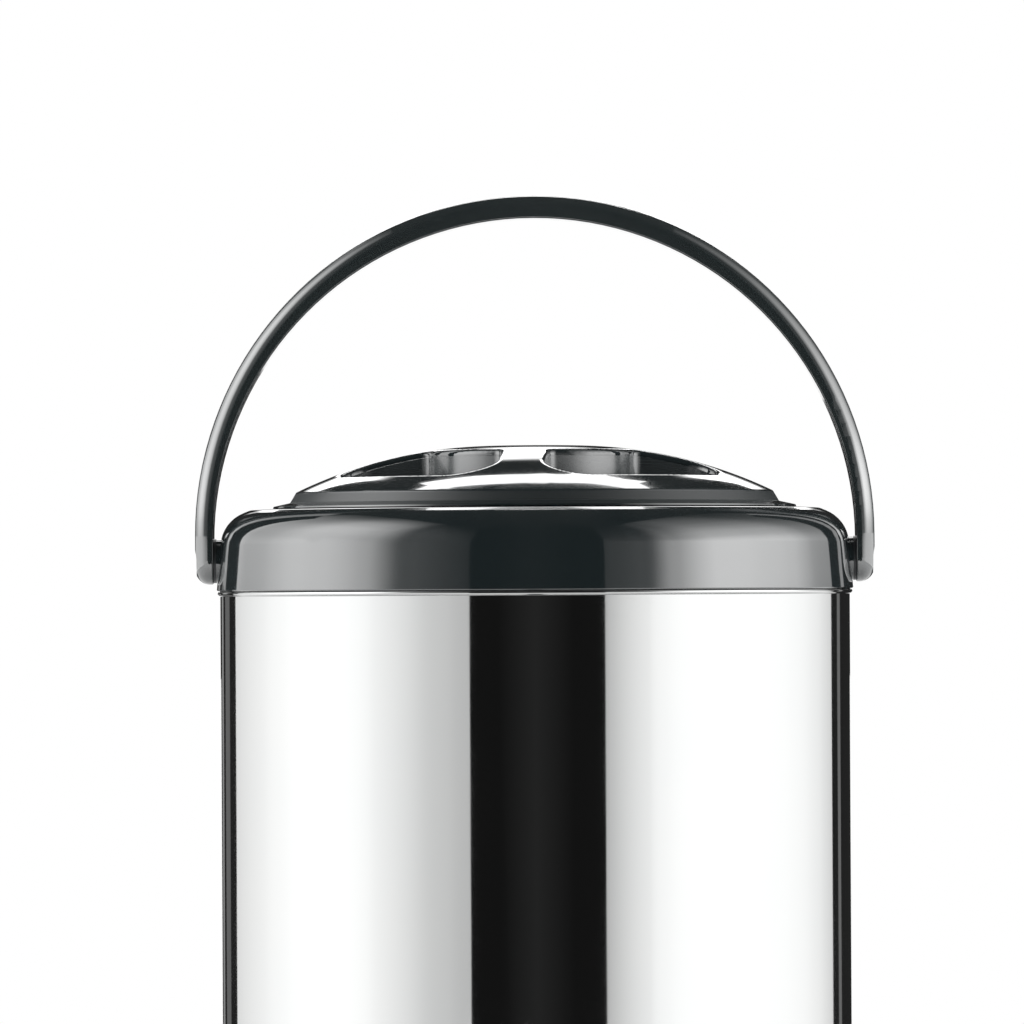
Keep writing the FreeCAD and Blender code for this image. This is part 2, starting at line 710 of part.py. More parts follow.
def make_bail():
    """Round-edged strap, a half circle between two short legs, turning on the pivots."""
    body = new_body("bail", f"{RING_FOOT} + {PIVOT_RISE}")
    inner_rise = f"(bail_rise + {BAIL_OUTER} - bail_crown - {BAIL_INNER})"
    reach = "(bail_depth / 2)"
    strap = new_sketch(body, "XZ_Plane", "strap_outline")
    corners = [
        (BAIL_OUTER, "bail_rise"),
        ("0", f"bail_rise + {BAIL_OUTER}"),
        (f"-{BAIL_OUTER}", "bail_rise"),
        (f"-{BAIL_OUTER}", f"-{reach}"),
        (f"-{BAIL_INNER}", f"-{reach}"),
        (f"-{BAIL_INNER}", inner_rise),
        ("0", f"{inner_rise} + {BAIL_INNER}"),
        (BAIL_INNER, inner_rise),
        (BAIL_INNER, f"-{reach}"),
        (BAIL_OUTER, f"-{reach}"),
    ]
    arcs = {0: (BAIL_OUTER, 1), 1: (BAIL_OUTER, 1), 5: (BAIL_INNER, -1), 6: (BAIL_INNER, -1)}
    outline(strap, corners, arcs)
    pad(body, strap, "bail_depth", both=True)

    ends = new_sketch(body, "YZ_Plane", "leg_ends")
    corners = [
        (f"-{reach}", "0"),
        (f"-bail_depth", "0"),
        (f"-bail_depth", "-bail_depth"),
        ("bail_depth", "-bail_depth"),
        ("bail_depth", "0"),
        (reach, "0"),
        ("0", f"-{reach}"),
    ]
    outline(ends, corners, {5: (reach, -1), 6: (reach, -1)})
    pocket(body, ends, PAST_LEGS, both=True)

    def runs_along(edge, radius, rise):
        box = edge.BoundBox
        across = box.YLength > value("bail_depth") - HAIR
        through_leg = HAIR < box.XLength < value("2 * bail_leg")
        reach = [math.hypot(spot.X, max(spot.Z - rise, 0)) for spot in edge.Vertexes]
        on_face = all(abs(length - radius) < HAIR for length in reach)
        return on_face and not across and not through_leg

    outer_face = value(BAIL_OUTER), value("bail_rise")
    inner_face = value(BAIL_INNER), value(inner_rise)
    round_edges(body, lambda edge: runs_along(edge, *outer_face), "bail_edge")
    round_edges(body, lambda edge: runs_along(edge, *inner_face), "bail_inner_edge")
    recess = "pivot_head_height + pivot_sunk"
    for name, radius, depth in (
        ("pivot_bore", "pivot_radius + running_gap", "2 * bail_leg"),
        ("head_recess", "pivot_head + screw_clearance", recess),
    ):
        hole = new_sketch(body, "YZ_Plane", name, BAIL_OUTER)
        circle(hole, "0", "0", radius)
        mirror(body, pocket(body, hole, depth), True)


def make_pivot(side, turn):
    """Shoulder screw and spacer washer that carry the bail on one side."""
    washer = new_body(f"pivot_washer_{side}", f"{RING_FOOT} + {PIVOT_RISE}")
    section = new_sketch(washer, "XZ_Plane", f"washer_section_{side}")
    inner, outer = "pivot_radius + running_gap", "boss_radius"
    start, end = RING_RADIUS, f"{RING_RADIUS} + washer_thickness"
    outline(section, [(start, inner), (end, inner), (end, outer), (start, outer)])
    spin(washer, section, "H_Axis")

    screw = new_body(f"pivot_screw_{side}", f"{RING_FOOT} + {PIVOT_RISE}")
    head = f"({BAIL_OUTER} - pivot_sunk)"
    section = new_sketch(screw, "XZ_Plane", f"screw_section_{side}")
    corners = [
        (f"{RING_RADIUS} - pivot_length", "0"),
        (f"{RING_RADIUS} - pivot_length", "boss_screw - running_gap"),
        (RING_RADIUS, "boss_screw - running_gap"),
        (RING_RADIUS, "pivot_radius"),
        (f"{head} - pivot_head_height", "pivot_radius"),
        (f"{head} - pivot_head_height", "pivot_head"),
        (head, "pivot_head"),
        (head, "0"),
    ]
    outline(section, corners)
    spin(screw, section, "H_Axis")
    socket = new_sketch(screw, "YZ_Plane", f"hex_socket_{side}", head)
    hexagon(socket, "pivot_socket")
    pocket(screw, socket, "pivot_head_height - pivot_sunk")
    for body in (washer, screw):
        body.Placement.Rotation = FreeCAD.Rotation(Vector(0, 0, 1), turn)


def hexagon(sketch, half_flats):
    """A regular hexagon about the sketch's origin, by half of its width across flats."""
    corner = f"({half_flats} / cos(30))"
    half = f"({corner} / 2)"
    corners = [
        (corner, "0"),
        (half, half_flats),
        (f"-{half}", half_flats),
        (f"-{corner}", "0"),
        (f"-{half}", f"-{half_flats}"),
        (half, f"-{half_flats}"),
    ]
    outline(sketch, corners)


def well_outline(sketch, grow):
    """One finger well seen from above, between two spokes along X and Y, a round hub and an
    outer arc, with rounded corners. grow moves the whole outline outwards."""
    hub = f"({WELL_RADIUS} - well_width - {grow})"
    spoke = f"(spoke_half - {grow})"
    rim = f"({WELL_RADIUS} + {grow})"
    corner = f"(well_corner + {grow})"
    inner = f"(hub_corner + {grow})"
    reach = f"sqrt(({rim} - {corner})^2 - ({spoke} + {corner})^2)"
    start = f"sqrt(({hub} + {inner})^2 - ({spoke} + {inner})^2)"
    stretch = f"{rim} / ({rim} - {corner})"
    shrink = f"{hub} / ({hub} + {inner})"
    corners = [
        (start, spoke),
        (reach, spoke),
        (f"{reach} * {stretch}", f"({spoke} + {corner}) * {stretch}"),
        (f"({spoke} + {corner}) * {stretch}", f"{reach} * {stretch}"),
        (spoke, reach),
        (spoke, start),
        (f"({spoke} + {inner}) * {shrink}", f"{start} * {shrink}"),
        (f"{start} * {shrink}", f"({spoke} + {inner}) * {shrink}"),
    ]
    arcs = {
        1: (corner, 1),
        2: (rim, 1),
        3: (corner, 1),
        5: (inner, 1),
        6: (hub, -1),
        7: (inner, 1),
    }
    outline(sketch, corners, arcs)


def make_lid_dome():
    """Domed skin of the lid, thick at its rim, with a round-edged opening over each finger cup."""
    body = new_body("lid_dome", LID_LEVEL)
    body.setExpression("Placement.Rotation.Angle", bound("lid_clocking"))
    socket = f"({PAN_RADIUS} - pan_step)"
    skin = new_sketch(body, "XZ_Plane", "dome_section")
    corners = [
        ("0", "lid_crown - lid_wall"),
        ("lid_flat", "lid_crown - lid_wall"),
        (socket, dome_level(socket, "lid_wall")),
        (socket, "0"),
        (LID_RADIUS, "0"),
        (f"{LID_RADIUS} - lid_lip_lean", "lid_lip"),
        (f"{BROW_RADIUS} + lid_brow_run", "lid_rim_rise"),
        (BROW_RADIUS, "lid_brow_height"),
        ("lid_flat", "lid_crown"),
        ("0", "lid_crown"),
    ]
    outline(skin, corners, {1: (f"{DOME_RADIUS} - lid_wall", -1), 7: (DOME_RADIUS, 1)})
    spin(body, skin)

    well = new_sketch(body, "XY_Plane", "well_opening")
    well_outline(well, "0")
    opening = pocket(body, well, "lid_crown", back=True)
    around(body, opening, well, "N_Axis", WELLS, True)

    def is_well_rim(edge):
        for vertex in edge.Vertexes:
            reach = str(math.hypot(vertex.X, vertex.Y))
            if abs(value(dome_level(reach, "0")) - vertex.Z) > HAIR:
                return False
        return value("lid_flat") < float(reach) < value(BROW_RADIUS) - HAIR

    round_edges(body, is_well_rim, "well_edge")
    brow = value(BROW_RADIUS), value("lid_brow_height")
    round_edges(body, lambda edge: is_hoop(edge, *brow), "lid_brow_round")
    lip = value(f"{LID_RADIUS} - lid_lip_lean"), value("lid_lip")
    round_edges(body, lambda edge: is_hoop(edge, *lip), "lid_lip_edge")


def dome_level(reach, depth):
    """How high the dome's skin stands at a distance from the lid's axis, at a depth inside it."""
    bend = f"({DOME_RADIUS} - {depth})"
    return f"(lid_crown - {DOME_RADIUS} + sqrt({bend}^2 - ({reach} - lid_flat)^2))"


def make_finger_cups():
    """Four deep cups under the dome's openings, their walls flush with them. The floor of the
    rear right one has the vent's hole."""
    body = new_body("finger_cups", LID_LEVEL)
    body.AllowCompound = True
    body.setExpression("Placement.Rotation.Angle", bound("lid_clocking"))
    cup = new_sketch(body, "XY_Plane", "cup_outside", "well_floor - lid_wall")
    well_outline(cup, "lid_wall")
    around(body, pad(body, cup, "lid_crown"), cup, "N_Axis", WELLS, False)

    above = new_sketch(body, "XZ_Plane", "above_cups")
    depth = "(lid_wall + running_gap)"
    corners = [
        ("0", f"lid_crown - {depth}"),
        ("lid_flat", f"lid_crown - {depth}"),
        (PAN_BORE, dome_level(PAN_BORE, depth)),
        (PAN_BORE, "2 * lid_crown"),
        ("0", "2 * lid_crown"),
    ]
    outline(above, corners, {1: (f"{DOME_RADIUS} - {depth}", -1)})
    spin(body, above, cuts=True)

    well = new_sketch(body, "XY_Plane", "cup_inside", "well_floor")
    well_outline(well, "0")
    hollow = pocket(body, well, "lid_crown", back=True)
    around(body, hollow, well, "N_Axis", WELLS, True)
    vent = new_sketch(body, "XY_Plane", "vent_hole", "well_floor")
    circle(vent, VENT_X, VENT_Y, "vent_radius")
    pocket(body, vent, "lid_wall")


def make_lid_inner():
    """Plug of the lid: a pan with the male thread on its wall and a tube for the vent."""
    body = new_body("lid_inner", LID_LEVEL)
    body.setExpression("Placement.Rotation.Angle", bound("lid_clocking"))
    section = new_sketch(body, "XZ_Plane", "pan_section")
    step = f"({PAN_RADIUS} - pan_step - seam_gap)"
    corners = [
        ("0", PAN_FOOT),
        (f"{PAN_RADIUS} - pan_chamfer", PAN_FOOT),
        (PAN_RADIUS, f"{PAN_FOOT} + pan_chamfer"),
        (PAN_RADIUS, "0"),
        (step, "0"),
        (step, "pan_spigot"),
        (PAN_BORE, "pan_spigot"),
        (PAN_BORE, f"{PAN_FOOT} + pan_floor"),
        ("0", f"{PAN_FOOT} + pan_floor"),
    ]
    outline(section, corners)
    spin(body, section)

    tube = new_sketch(body, "XY_Plane", "vent_tube", PAN_FOOT)
    circle(tube, VENT_X, VENT_Y, "vent_radius + vent_tube_wall")
    pad(body, tube, f"well_floor - lid_wall - {PAN_FOOT}")
    bore = new_sketch(body, "XY_Plane", "vent_bore", PAN_FOOT)
    circle(bore, VENT_X, VENT_Y, "vent_radius")
    pocket(body, bore, f"well_floor - {PAN_FOOT}", back=True)

    ridge = new_sketch(body, "XZ_Plane", "lid_thread")
    half_pitch = "(thread_lead / thread_starts / 2)"
    turned = "(thread_lead * lid_clocking / 360)"
    level = f"(thread_top - neck_depth - lid_gap + {half_pitch} + {turned})"
    slope = "(thread_root - thread_crest) / 2"
    root = f"{PAN_RADIUS} - thread_sunk"
    crest = f"{PAN_RADIUS} + thread_depth"
    corners = [
        (root, f"{level} - thread_root / 2"),
        (crest, f"{level} - thread_root / 2 + {slope}"),
        (crest, f"{level} + thread_root / 2 - {slope}"),
        (root, f"{level} + thread_root / 2"),
    ]
    outline(ridge, corners)
    thread(body, ridge)


def make_lid_foam():
    """Insulating disc inside the lid's plug, with a hole for the vent tube."""
    floor = f"({PAN_FOOT} + pan_floor)"
    body = new_body("lid_foam", f"{LID_LEVEL} + {floor}")
    body.setExpression("Placement.Rotation.Angle", bound("lid_clocking"))
    disc = new_sketch(body, "XY_Plane", "foam_disc")
    circle(disc, "0", "0", f"{PAN_BORE} - seam_gap")
    circle(disc, VENT_X, VENT_Y, "vent_radius + vent_tube_wall + seam_gap")
    pad(body, disc, f"well_floor - lid_wall - seam_gap - {floor}")


def make_lid_gasket():
    """Soft ring under the plug; it bears on the neck's ledge and rises with the lid."""
    body = new_body("lid_gasket", f"{RING_TOP} - neck_depth + turning_gap")
    outer = f"({PAN_RADIUS} - seam_gap)"
    inner = f"({outer} - gasket_width)"
    section = new_sketch(body, "XZ_Plane", "gasket_section")
    top = "gasket_thickness"
    outline(section, [(inner, "0"), (outer, "0"), (outer, top), (inner, top)])
    spin(body, section)


def make_vent_plug():
    """Soft stopper in the floor of a rear well; lifted, it lets air in as the tap runs."""
    body = new_body("vent_plug", f"{LID_LEVEL} + well_floor + turning_gap")
    body.setExpression("Placement.Base.x", bound(f"{VENT_PLACE} * cos(45 + lid_clocking)"))
    body.setExpression("Placement.Base.y", bound(f"{VENT_PLACE} * sin(45 + lid_clocking)"))
    section = new_sketch(body, "XZ_Plane", "vent_section")
    stem = "(vent_radius - lid_gap)"
    corners = [
        ("0", "-vent_stem"),
        (f"{stem} / 2", "-vent_stem"),
        (stem, "-vent_stem / 2"),
        (stem, "0"),
        ("vent_cap", "0"),
        ("vent_cap", "vent_cap_height / 2"),
        ("vent_cap / 2", "vent_cap_height"),
        ("0", "vent_cap_height"),
    ]
    outline(section, corners)
    spin(body, section)


def make_tap_body():
    """Tap casting: shank through the barrel's wall, level arm, upright valve barrel and spout."""
    body = new_body("tap_body", TAP_LEVEL, f"-{TAP_AXIS}")
    upright = new_sketch(body, "XZ_Plane", "barrel_section")
    collar = "(barrel_radius - collar_step)"
    corners = [
        ("0", "-spout_drop"),
        ("spout_radius", "-spout_drop"),
        ("spout_radius + spout_flare", "-barrel_down - spout_flare"),
        ("barrel_radius", "-barrel_down"),
        ("barrel_radius", "barrel_up"),
        (collar, "barrel_up"),
        (collar, COLLAR_TOP),
        ("0", COLLAR_TOP),
    ]
    outline(upright, corners)
    spin(body, upright)
    level = new_sketch(body, "YZ_Plane", "arm_section")
    flange = f"({TAP_AXIS} - {TAP_FLANGE})"
    end = f"({TAP_AXIS} - {SHANK_END})"
    corners = [
        ("0", "0"),
        ("0", "arm_radius"),
        (f"{flange} - flange_thickness", "arm_radius"),
        (f"{flange} - flange_thickness", "flange_radius"),
        (flange, "flange_radius"),
        (flange, "shank_radius"),
        (end, "shank_radius"),
        (end, "0"),
    ]
    outline(level, corners)
    spin(body, level, "H_Axis")

    bore = new_sketch(body, "XZ_Plane", "chamber_section")
    corners = [
        ("0", "-2 * spout_drop"),
        ("spout_bore", "-2 * spout_drop"),
        ("spout_bore", "-seat_drop"),
        ("chamber_radius", "-seat_drop"),
        ("chamber_radius", "2 * barrel_up + collar_height"),
        ("0", "2 * barrel_up + collar_height"),
    ]
    outline(bore, corners)
    spin(body, bore, cuts=True)
    flow = new_sketch(body, "YZ_Plane", "flow_section")
    start = "(chamber_radius / 2)"
    far = f"({end} + flange_thickness)"
    outline(flow, [(start, "0"), (far, "0"), (far, "flow_radius"), (start, "flow_radius")])
    spin(body, flow, "H_Axis", cuts=True)


def hug_wall(body, cuts):
    """Trim a piece that lies across the barrel's wall to the wall's curve. Each cut is a pair of
    radii from the barrel's axis between which the piece is taken away."""
    for number, (near, far) in enumerate(cuts):
        area = new_sketch(body, "XZ_Plane", f"{body.Label}_trim_{number}")
        low, high = "-2 * flange_radius", "2 * flange_radius"
        outline(area, [(near, low), (far, low), (far, high), (near, high)])
        spin(body, area, cuts=True)


def make_wall_ring(label, start, end, outer, cuts):
    """A ring round the tap's shank, from one distance to another in front of the axis."""
    body = new_body(label, TAP_LEVEL)
    section = new_sketch(body, "YZ_Plane", label + "_section")
    inner = TAP_HOLE
    near, far = f"-{end}", f"-{start}"
    outline(section, [(near, inner), (far, inner), (far, outer), (near, outer)])
    spin(body, section, "H_Axis")
    hug_wall(body, cuts)


def make_tap_fixings():
    """What clamps the tap to the wall: soft washers outside and inside, a sleeve through the
    foam and a hexagon nut in the tank."""
    face = "(shell_radius + seam_gap)"
    make_wall_ring(
        "tap_outer_washer",
        "(shell_radius - tap_washer)",
        TAP_FLANGE,
        "flange_radius + running_gap",
        [("0", face)],
    )
    lining = f"({LINER_RADIUS} + liner_wall + seam_gap)"
    sleeve = f"({SHELL_BORE} - seam_gap)"
    make_wall_ring(
        "tap_wall_sleeve",
        f"({LINER_RADIUS} - tap_washer)",
        "(shell_radius + tap_washer)",
        SLEEVE_RADIUS,
        [("0", lining), (sleeve, PAST_WALL)],
    )
    touch = f"({LINER_RADIUS} - seam_gap)"
    make_wall_ring(
        "tap_inner_washer",
        NUT_FACE,
        f"({LINER_RADIUS} + tap_washer)",
        "inner_washer_radius",
        [(touch, PAST_WALL)],
    )
    nut = new_body("tap_nut", TAP_LEVEL)
    face = new_sketch(nut, "XZ_Plane", "nut_face", NUT_FACE)
    hexagon(face, "(nut_flats / 2)")
    circle(face, "0", "0", TAP_HOLE)
    pad(nut, face, "nut_thickness", back=True)


def make_tap_bonnet():
    """Fluted cap that closes the valve barrel, with two ears for the lever's pin."""
    body = new_body("tap_bonnet", TAP_LEVEL, f"-{TAP_AXIS}")
    section = new_sketch(body, "XZ_Plane", "bonnet_section")
    bore = "(barrel_radius - collar_step + seam_gap)"
    outer = f"({bore} + bonnet_wall)"
    roof = f"({COLLAR_TOP} + seam_gap)"
    hole = "(stem_radius + stem_gap)"
    groove = "(stem_radius + stem_gap + ring_groove)"
    groove_foot = f"({BONNET_TOP} - bonnet_top / 2 - ring_groove / 2)"
    corners = [
        (hole, roof),
        (bore, roof),
        (bore, "barrel_up + seam_gap"),
        (outer, "barrel_up + seam_gap"),
        (outer, f"{BONNET_TOP} - bonnet_chamfer"),
        (f"{outer} - bonnet_chamfer", BONNET_TOP),
        (hole, BONNET_TOP),
        (hole, f"{groove_foot} + ring_groove"),
        (groove, f"{groove_foot} + ring_groove"),
        (groove, groove_foot),
        (hole, groove_foot),
    ]
    outline(section, corners)
    spin(body, section)
    flute = new_sketch(body, "XY_Plane", "flute", "barrel_up")
    circle(flute, f"{outer} + flute_radius / 2", "0", "flute_radius")
    notch = pocket(body, flute, "collar_height", back=True)
    around(body, notch, flute, "N_Axis", "flute_count", True)

    ears = new_sketch(body, "YZ_Plane", "ears")
    low = f"({BONNET_TOP} - bonnet_top / 2)"
    corners = [
        ("-lever_arm - ear_radius", low),
        ("ear_radius - lever_arm", low),
        ("ear_radius - lever_arm", PIN_LEVEL),
        ("-lever_arm", f"{PIN_LEVEL} + ear_radius"),
        ("-lever_arm - ear_radius", PIN_LEVEL),
    ]
    outline(ears, corners, {2: ("ear_radius", 1), 3: ("ear_radius", 1)})
    pad(body, ears, f"{EAR_SPAN} + 2 * ear_wall", both=True)
    slot = new_sketch(body, "YZ_Plane", "ear_slot")
    near = "-lever_arm - 2 * ear_radius"
    far = "2 * ear_radius - lever_arm"
    high = f"{PIN_LEVEL} + 2 * ear_radius"
    outline(slot, [(near, BONNET_TOP), (far, BONNET_TOP), (far, high), (near, high)])
    pocket(body, slot, EAR_SPAN, both=True)
    eye = new_sketch(body, "YZ_Plane", "pin_hole")
    circle(eye, "-lever_arm", PIN_LEVEL, "pin_radius + running_gap")
    pocket(body, eye, "2 * paddle_width", both=True)


def make_stem_o_ring():
    """Seal round the stem, in the bonnet's groove."""
    ring = document.addObject("Part::Torus", "stem_o_ring")
    ring.Label = "stem_o_ring"
    ring.setExpression("Radius1", bound("stem_radius + turning_gap + o_ring"))
    ring.setExpression("Radius2", bound("o_ring"))
    ring.setExpression("Placement.Base.y", bound(f"-{TAP_AXIS}"))
    ring.setExpression("Placement.Base.z", bound(f"{TAP_LEVEL} + {BONNET_TOP} - bonnet_top / 2"))
    subparts.append(ring)


def make_valve_stem():
    """Stem that the lever lifts: a collar for the spring below and a head on top."""
    body = new_body("valve_stem", TAP_LEVEL, f"-{TAP_AXIS}")
    section = new_sketch(body, "XZ_Plane", "stem_section")
    cup_top = f"({CUP_FOOT} + cup_height)"
    corners = [
        ("0", f"{cup_top} - cup_socket"),
        ("stem_radius", f"{cup_top} - cup_socket"),
        ("stem_radius", cup_top),
        ("collar_radius", cup_top),
        ("collar_radius", SPRING_SEAT),
        ("stem_radius", SPRING_SEAT),
        ("stem_radius", HEAD_FOOT),
        ("head_radius", HEAD_FOOT),
        ("head_radius", f"{HEAD_FOOT} + head_height / 2"),
        ("head_radius / 2", f"{HEAD_FOOT} + head_height"),
        ("0", f"{HEAD_FOOT} + head_height"),
    ]
    outline(section, corners)
    spin(body, section)


def make_seat_cup():
    """Soft cup on the stem's end that closes the spout's bore."""
    body = new_body("seat_cup", f"{TAP_LEVEL} + {CUP_FOOT}", f"-{TAP_AXIS}")
    section = new_sketch(body, "XZ_Plane", "cup_section")
    bore = "(stem_radius + running_gap)"
    socket = "(cup_height - cup_socket - seam_gap)"
    corners = [
        ("0", "0"),
        ("cup_radius", "0"),
        ("cup_radius", "cup_height / 2"),
        ("collar_radius", "cup_height"),
        (bore, "cup_height"),
        (bore, socket),
        ("0", socket),
    ]
    outline(section, corners)
    spin(body, section)


def make_valve_spring():
    """Coil spring between the stem's collar and the bonnet's roof."""
    body = new_body("valve_spring", f"{TAP_LEVEL} + {SPRING_SEAT}", f"-{TAP_AXIS}")
    wire = new_sketch(body, "XZ_Plane", "wire")
    gap = "(spring_wire + seam_gap)"
    circle(wire, "spring_radius", gap, "spring_wire")
    coil = body.newObject("PartDesign::AdditiveHelix", "coil")
    coil.Profile = wire
    coil.ReferenceAxis = (wire, ["V_Axis"])
    coil.Mode = "height-turns-angle"
    free = f"({COLLAR_TOP} + seam_gap - {SPRING_SEAT} - 2 * {gap})"
    coil.setExpression("Height", bound(free))
    coil.setExpression("Turns", bound("spring_turns"))
    settle(body, coil, False)


def make_tap_lever():
    """Lever pivoted in the bonnet's ears: a fork under the stem's head and a finger paddle."""
    body = new_body("tap_lever", f"{TAP_LEVEL} + {PIN_LEVEL}", f"-{TAP_AXIS} - lever_arm")
    hub = new_sketch(body, "YZ_Plane", "lever_hub")
    circle(hub, "0", "0", "hub_round")
    pad(body, hub, "hub_width", both=True)
    arm = new_sketch(body, "YZ_Plane", "fork_side")
    corners = [
        ("0", "-fork_half"),
        ("lever_arm", "-fork_half"),
        ("lever_arm + fork_half", "0"),
        ("lever_arm", "fork_half"),
        ("0", "fork_half"),
    ]
    outline(arm, corners, {1: ("fork_half", 1), 2: ("fork_half", 1)})
    pad(body, arm, "hub_width", both=True)
    paddle = new_sketch(body, "YZ_Plane", "paddle_side")
    half = "(paddle_thickness / 2)"
    corners = [
        ("0", "-paddle_root / 2"),
        ("0", "paddle_root / 2"),
        ("-paddle_reach / 2", f"paddle_bend + {half}"),
        ("-paddle_reach", f"paddle_rise + {half}"),
        (f"-paddle_reach - {half}", "paddle_rise"),
        ("-paddle_reach", f"paddle_rise - {half}"),
        ("-paddle_reach / 2", f"paddle_bend - {half}"),
    ]
    outline(paddle, corners, {3: (half, 1), 4: (half, 1)})
    pad(body, paddle, "paddle_width", both=True)
    waist = new_sketch(body, "XY_Plane", "paddle_waist")
    neck = "(paddle_neck / 2)"
    wide = "(paddle_width / 2)"
    back = "2 * hub_round"
    flare = "-paddle_neck - paddle_flare"
    corners = [
        (neck, back),
        (neck, "-paddle_neck"),
        (wide, flare),
        ("paddle_width", flare),
        ("paddle_width", back),
    ]
    outline(waist, corners)
    mirror(body, pocket(body, waist, "4 * paddle_rise", both=True), True)

    slot = new_sketch(body, "XY_Plane", "fork_slot")
    gap = "(hub_width / 2 - fork_arm)"
    far = "(lever_arm + 2 * fork_half)"
    corners = [(gap, "slot_end"), (gap, far), (f"-{gap}", far), (f"-{gap}", "slot_end")]
    outline(slot, corners)
    pocket(body, slot, "4 * hub_round", both=True)
    bore = new_sketch(body, "YZ_Plane", "lever_bore")
    circle(bore, "0", "0", "pin_radius + running_gap")
    pocket(body, bore, "2 * hub_width", both=True)


def make_lever_pin():
    """Pin through the bonnet's ears that the lever turns on."""
    body = new_body("lever_pin", f"{TAP_LEVEL} + {PIN_LEVEL}", f"-{TAP_AXIS} - lever_arm")
    face = new_sketch(body, "YZ_Plane", "pin_face")
    circle(face, "0", "0", "pin_radius")
    pad(body, face, f"{EAR_SPAN} + 2 * ear_wall + 2 * ear_gap", both=True)


make_outer_shell()
make_shoulder_ring()
make_inner_liner()
make_liner_seal()
make_foam_jacket()
make_base_ring()
make_bottom_plate()
make_foot_ring()
make_base_screws()
make_bail()
make_pivot("right", 0)
make_pivot("left", 180)
make_lid_dome()
make_finger_cups()
make_lid_inner()
make_lid_foam()
make_lid_gasket()
make_vent_plug()
make_tap_body()
make_tap_fixings()
make_tap_bonnet()
make_stem_o_ring()
make_valve_stem()
make_seat_cup()
make_valve_spring()
make_tap_lever()
make_lever_pin()

document.recompute()
for item in document.Objects:
    if "Invalid" in item.State or "Error" in item.State:
        raise RuntimeError(f"{item.Label}: {item.State}")
os.makedirs("parts", exist_ok=True)
for part in subparts:
    if part.Shape.isNull() or not part.Shape.isValid():
        raise RuntimeError(f"{part.Label} has no valid shape")
for part in subparts:
    part.Shape.exportStep(os.path.join("parts", part.Label + ".step"))
    print(part.Label, len(part.Shape.Solids), round(part.Shape.Volume))
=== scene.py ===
# %% [markdown]
# # Dressing an insulated drink dispenser
#
# The solids of the barrel, lid, bail and tap are loaded as a fixed frame, in metres, with the barrel's axis
# on Z and the tap towards -Y. This lesson gives them the finishes of the real object, adds the small pieces
# that only a close look shows, and lights the whole as a catalogue photograph would.

# %% Load the frame
import math

import bpy
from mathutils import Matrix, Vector


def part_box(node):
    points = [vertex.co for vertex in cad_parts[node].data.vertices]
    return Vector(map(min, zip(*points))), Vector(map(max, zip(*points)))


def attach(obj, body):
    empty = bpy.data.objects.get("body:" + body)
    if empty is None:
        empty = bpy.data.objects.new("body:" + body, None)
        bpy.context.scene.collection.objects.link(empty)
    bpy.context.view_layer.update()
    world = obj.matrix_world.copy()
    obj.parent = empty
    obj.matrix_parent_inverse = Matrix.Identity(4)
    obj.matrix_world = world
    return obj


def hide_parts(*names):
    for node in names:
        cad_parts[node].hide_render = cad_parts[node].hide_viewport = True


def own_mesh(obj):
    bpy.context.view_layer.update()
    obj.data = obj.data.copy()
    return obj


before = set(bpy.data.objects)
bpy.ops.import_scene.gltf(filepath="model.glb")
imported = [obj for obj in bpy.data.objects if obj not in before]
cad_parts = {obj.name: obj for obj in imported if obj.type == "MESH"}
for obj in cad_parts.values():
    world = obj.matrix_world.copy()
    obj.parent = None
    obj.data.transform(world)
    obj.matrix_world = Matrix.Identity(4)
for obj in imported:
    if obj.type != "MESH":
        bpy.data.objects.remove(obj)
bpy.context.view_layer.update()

MM = 0.001

# %% [markdown]
# The camera comes first, because every finish is judged through it. A barrel could be shown from above, but
# the photograph looks straight at its front with a long lens, at the height of the seam between the steel
# shell and the plastic ring, under which the shell is tucked. So the camera stands four metres off at that
# height and looks up a little, and no shift is needed. The picture leans by a third of a degree, which a roll
# of the camera repeats.

# %% Stand the camera where the photographer stood
PICTURE_SIDE = 1024
SHELL_WIDTH_PX = 629
BARREL_AXIS_PX = 535
SEAM_ROW_PX = 590
CAMERA_DISTANCE = 4.0
CAMERA_ROLL = math.radians(0.3)
SENSOR = 36
SHELL_TUCK = 3 * MM

shell_low, shell_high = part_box("outer_shell")
seam_height = shell_high.z - SHELL_TUCK
metres_per_px = (shell_high.x - shell_low.x) / SHELL_WIDTH_PX
aim_x = (PICTURE_SIDE / 2 - BARREL_AXIS_PX) * metres_per_px
aim_z = seam_height + (SEAM_ROW_PX - PICTURE_SIDE / 2) * metres_per_px

camera_data = bpy.data.cameras.new("portrait_lens")
camera_data.sensor_width = SENSOR
camera_data.lens = SENSOR * CAMERA_DISTANCE / (PICTURE_SIDE * metres_per_px)
camera_data.clip_start = 0.1
camera_data.clip_end = 100
camera = bpy.data.objects.new("portrait_camera", camera_data)
bpy.context.scene.collection.objects.link(camera)
camera.location = (aim_x, -CAMERA_DISTANCE, seam_height)
tilt = math.atan2(aim_z - seam_height, CAMERA_DISTANCE)
camera.rotation_euler = (math.radians(90) + tilt, CAMERA_ROLL, 0)
bpy.context.scene.camera = camera
bpy.context.scene.view_settings.view_transform = "Standard"
print("millimetres per pixel:", round(metres_per_px / MM, 4), "lens:", round(camera_data.lens, 1))

# %% [markdown]
# Modelling is done with the same operators a hand would use. An operator works on everything that is
# selected, so each step starts by clearing the selection. Nodes of a material are many and alike, so one
# helper adds a node and fills its inputs, either with a value or with a wire from another node.

# %% Helpers for selecting and for wiring nodes
def clear_selection():
    if bpy.context.object and bpy.context.object.mode != "OBJECT":
        bpy.ops.object.mode_set(mode="OBJECT")
    bpy.ops.object.select_all(action="DESELECT")


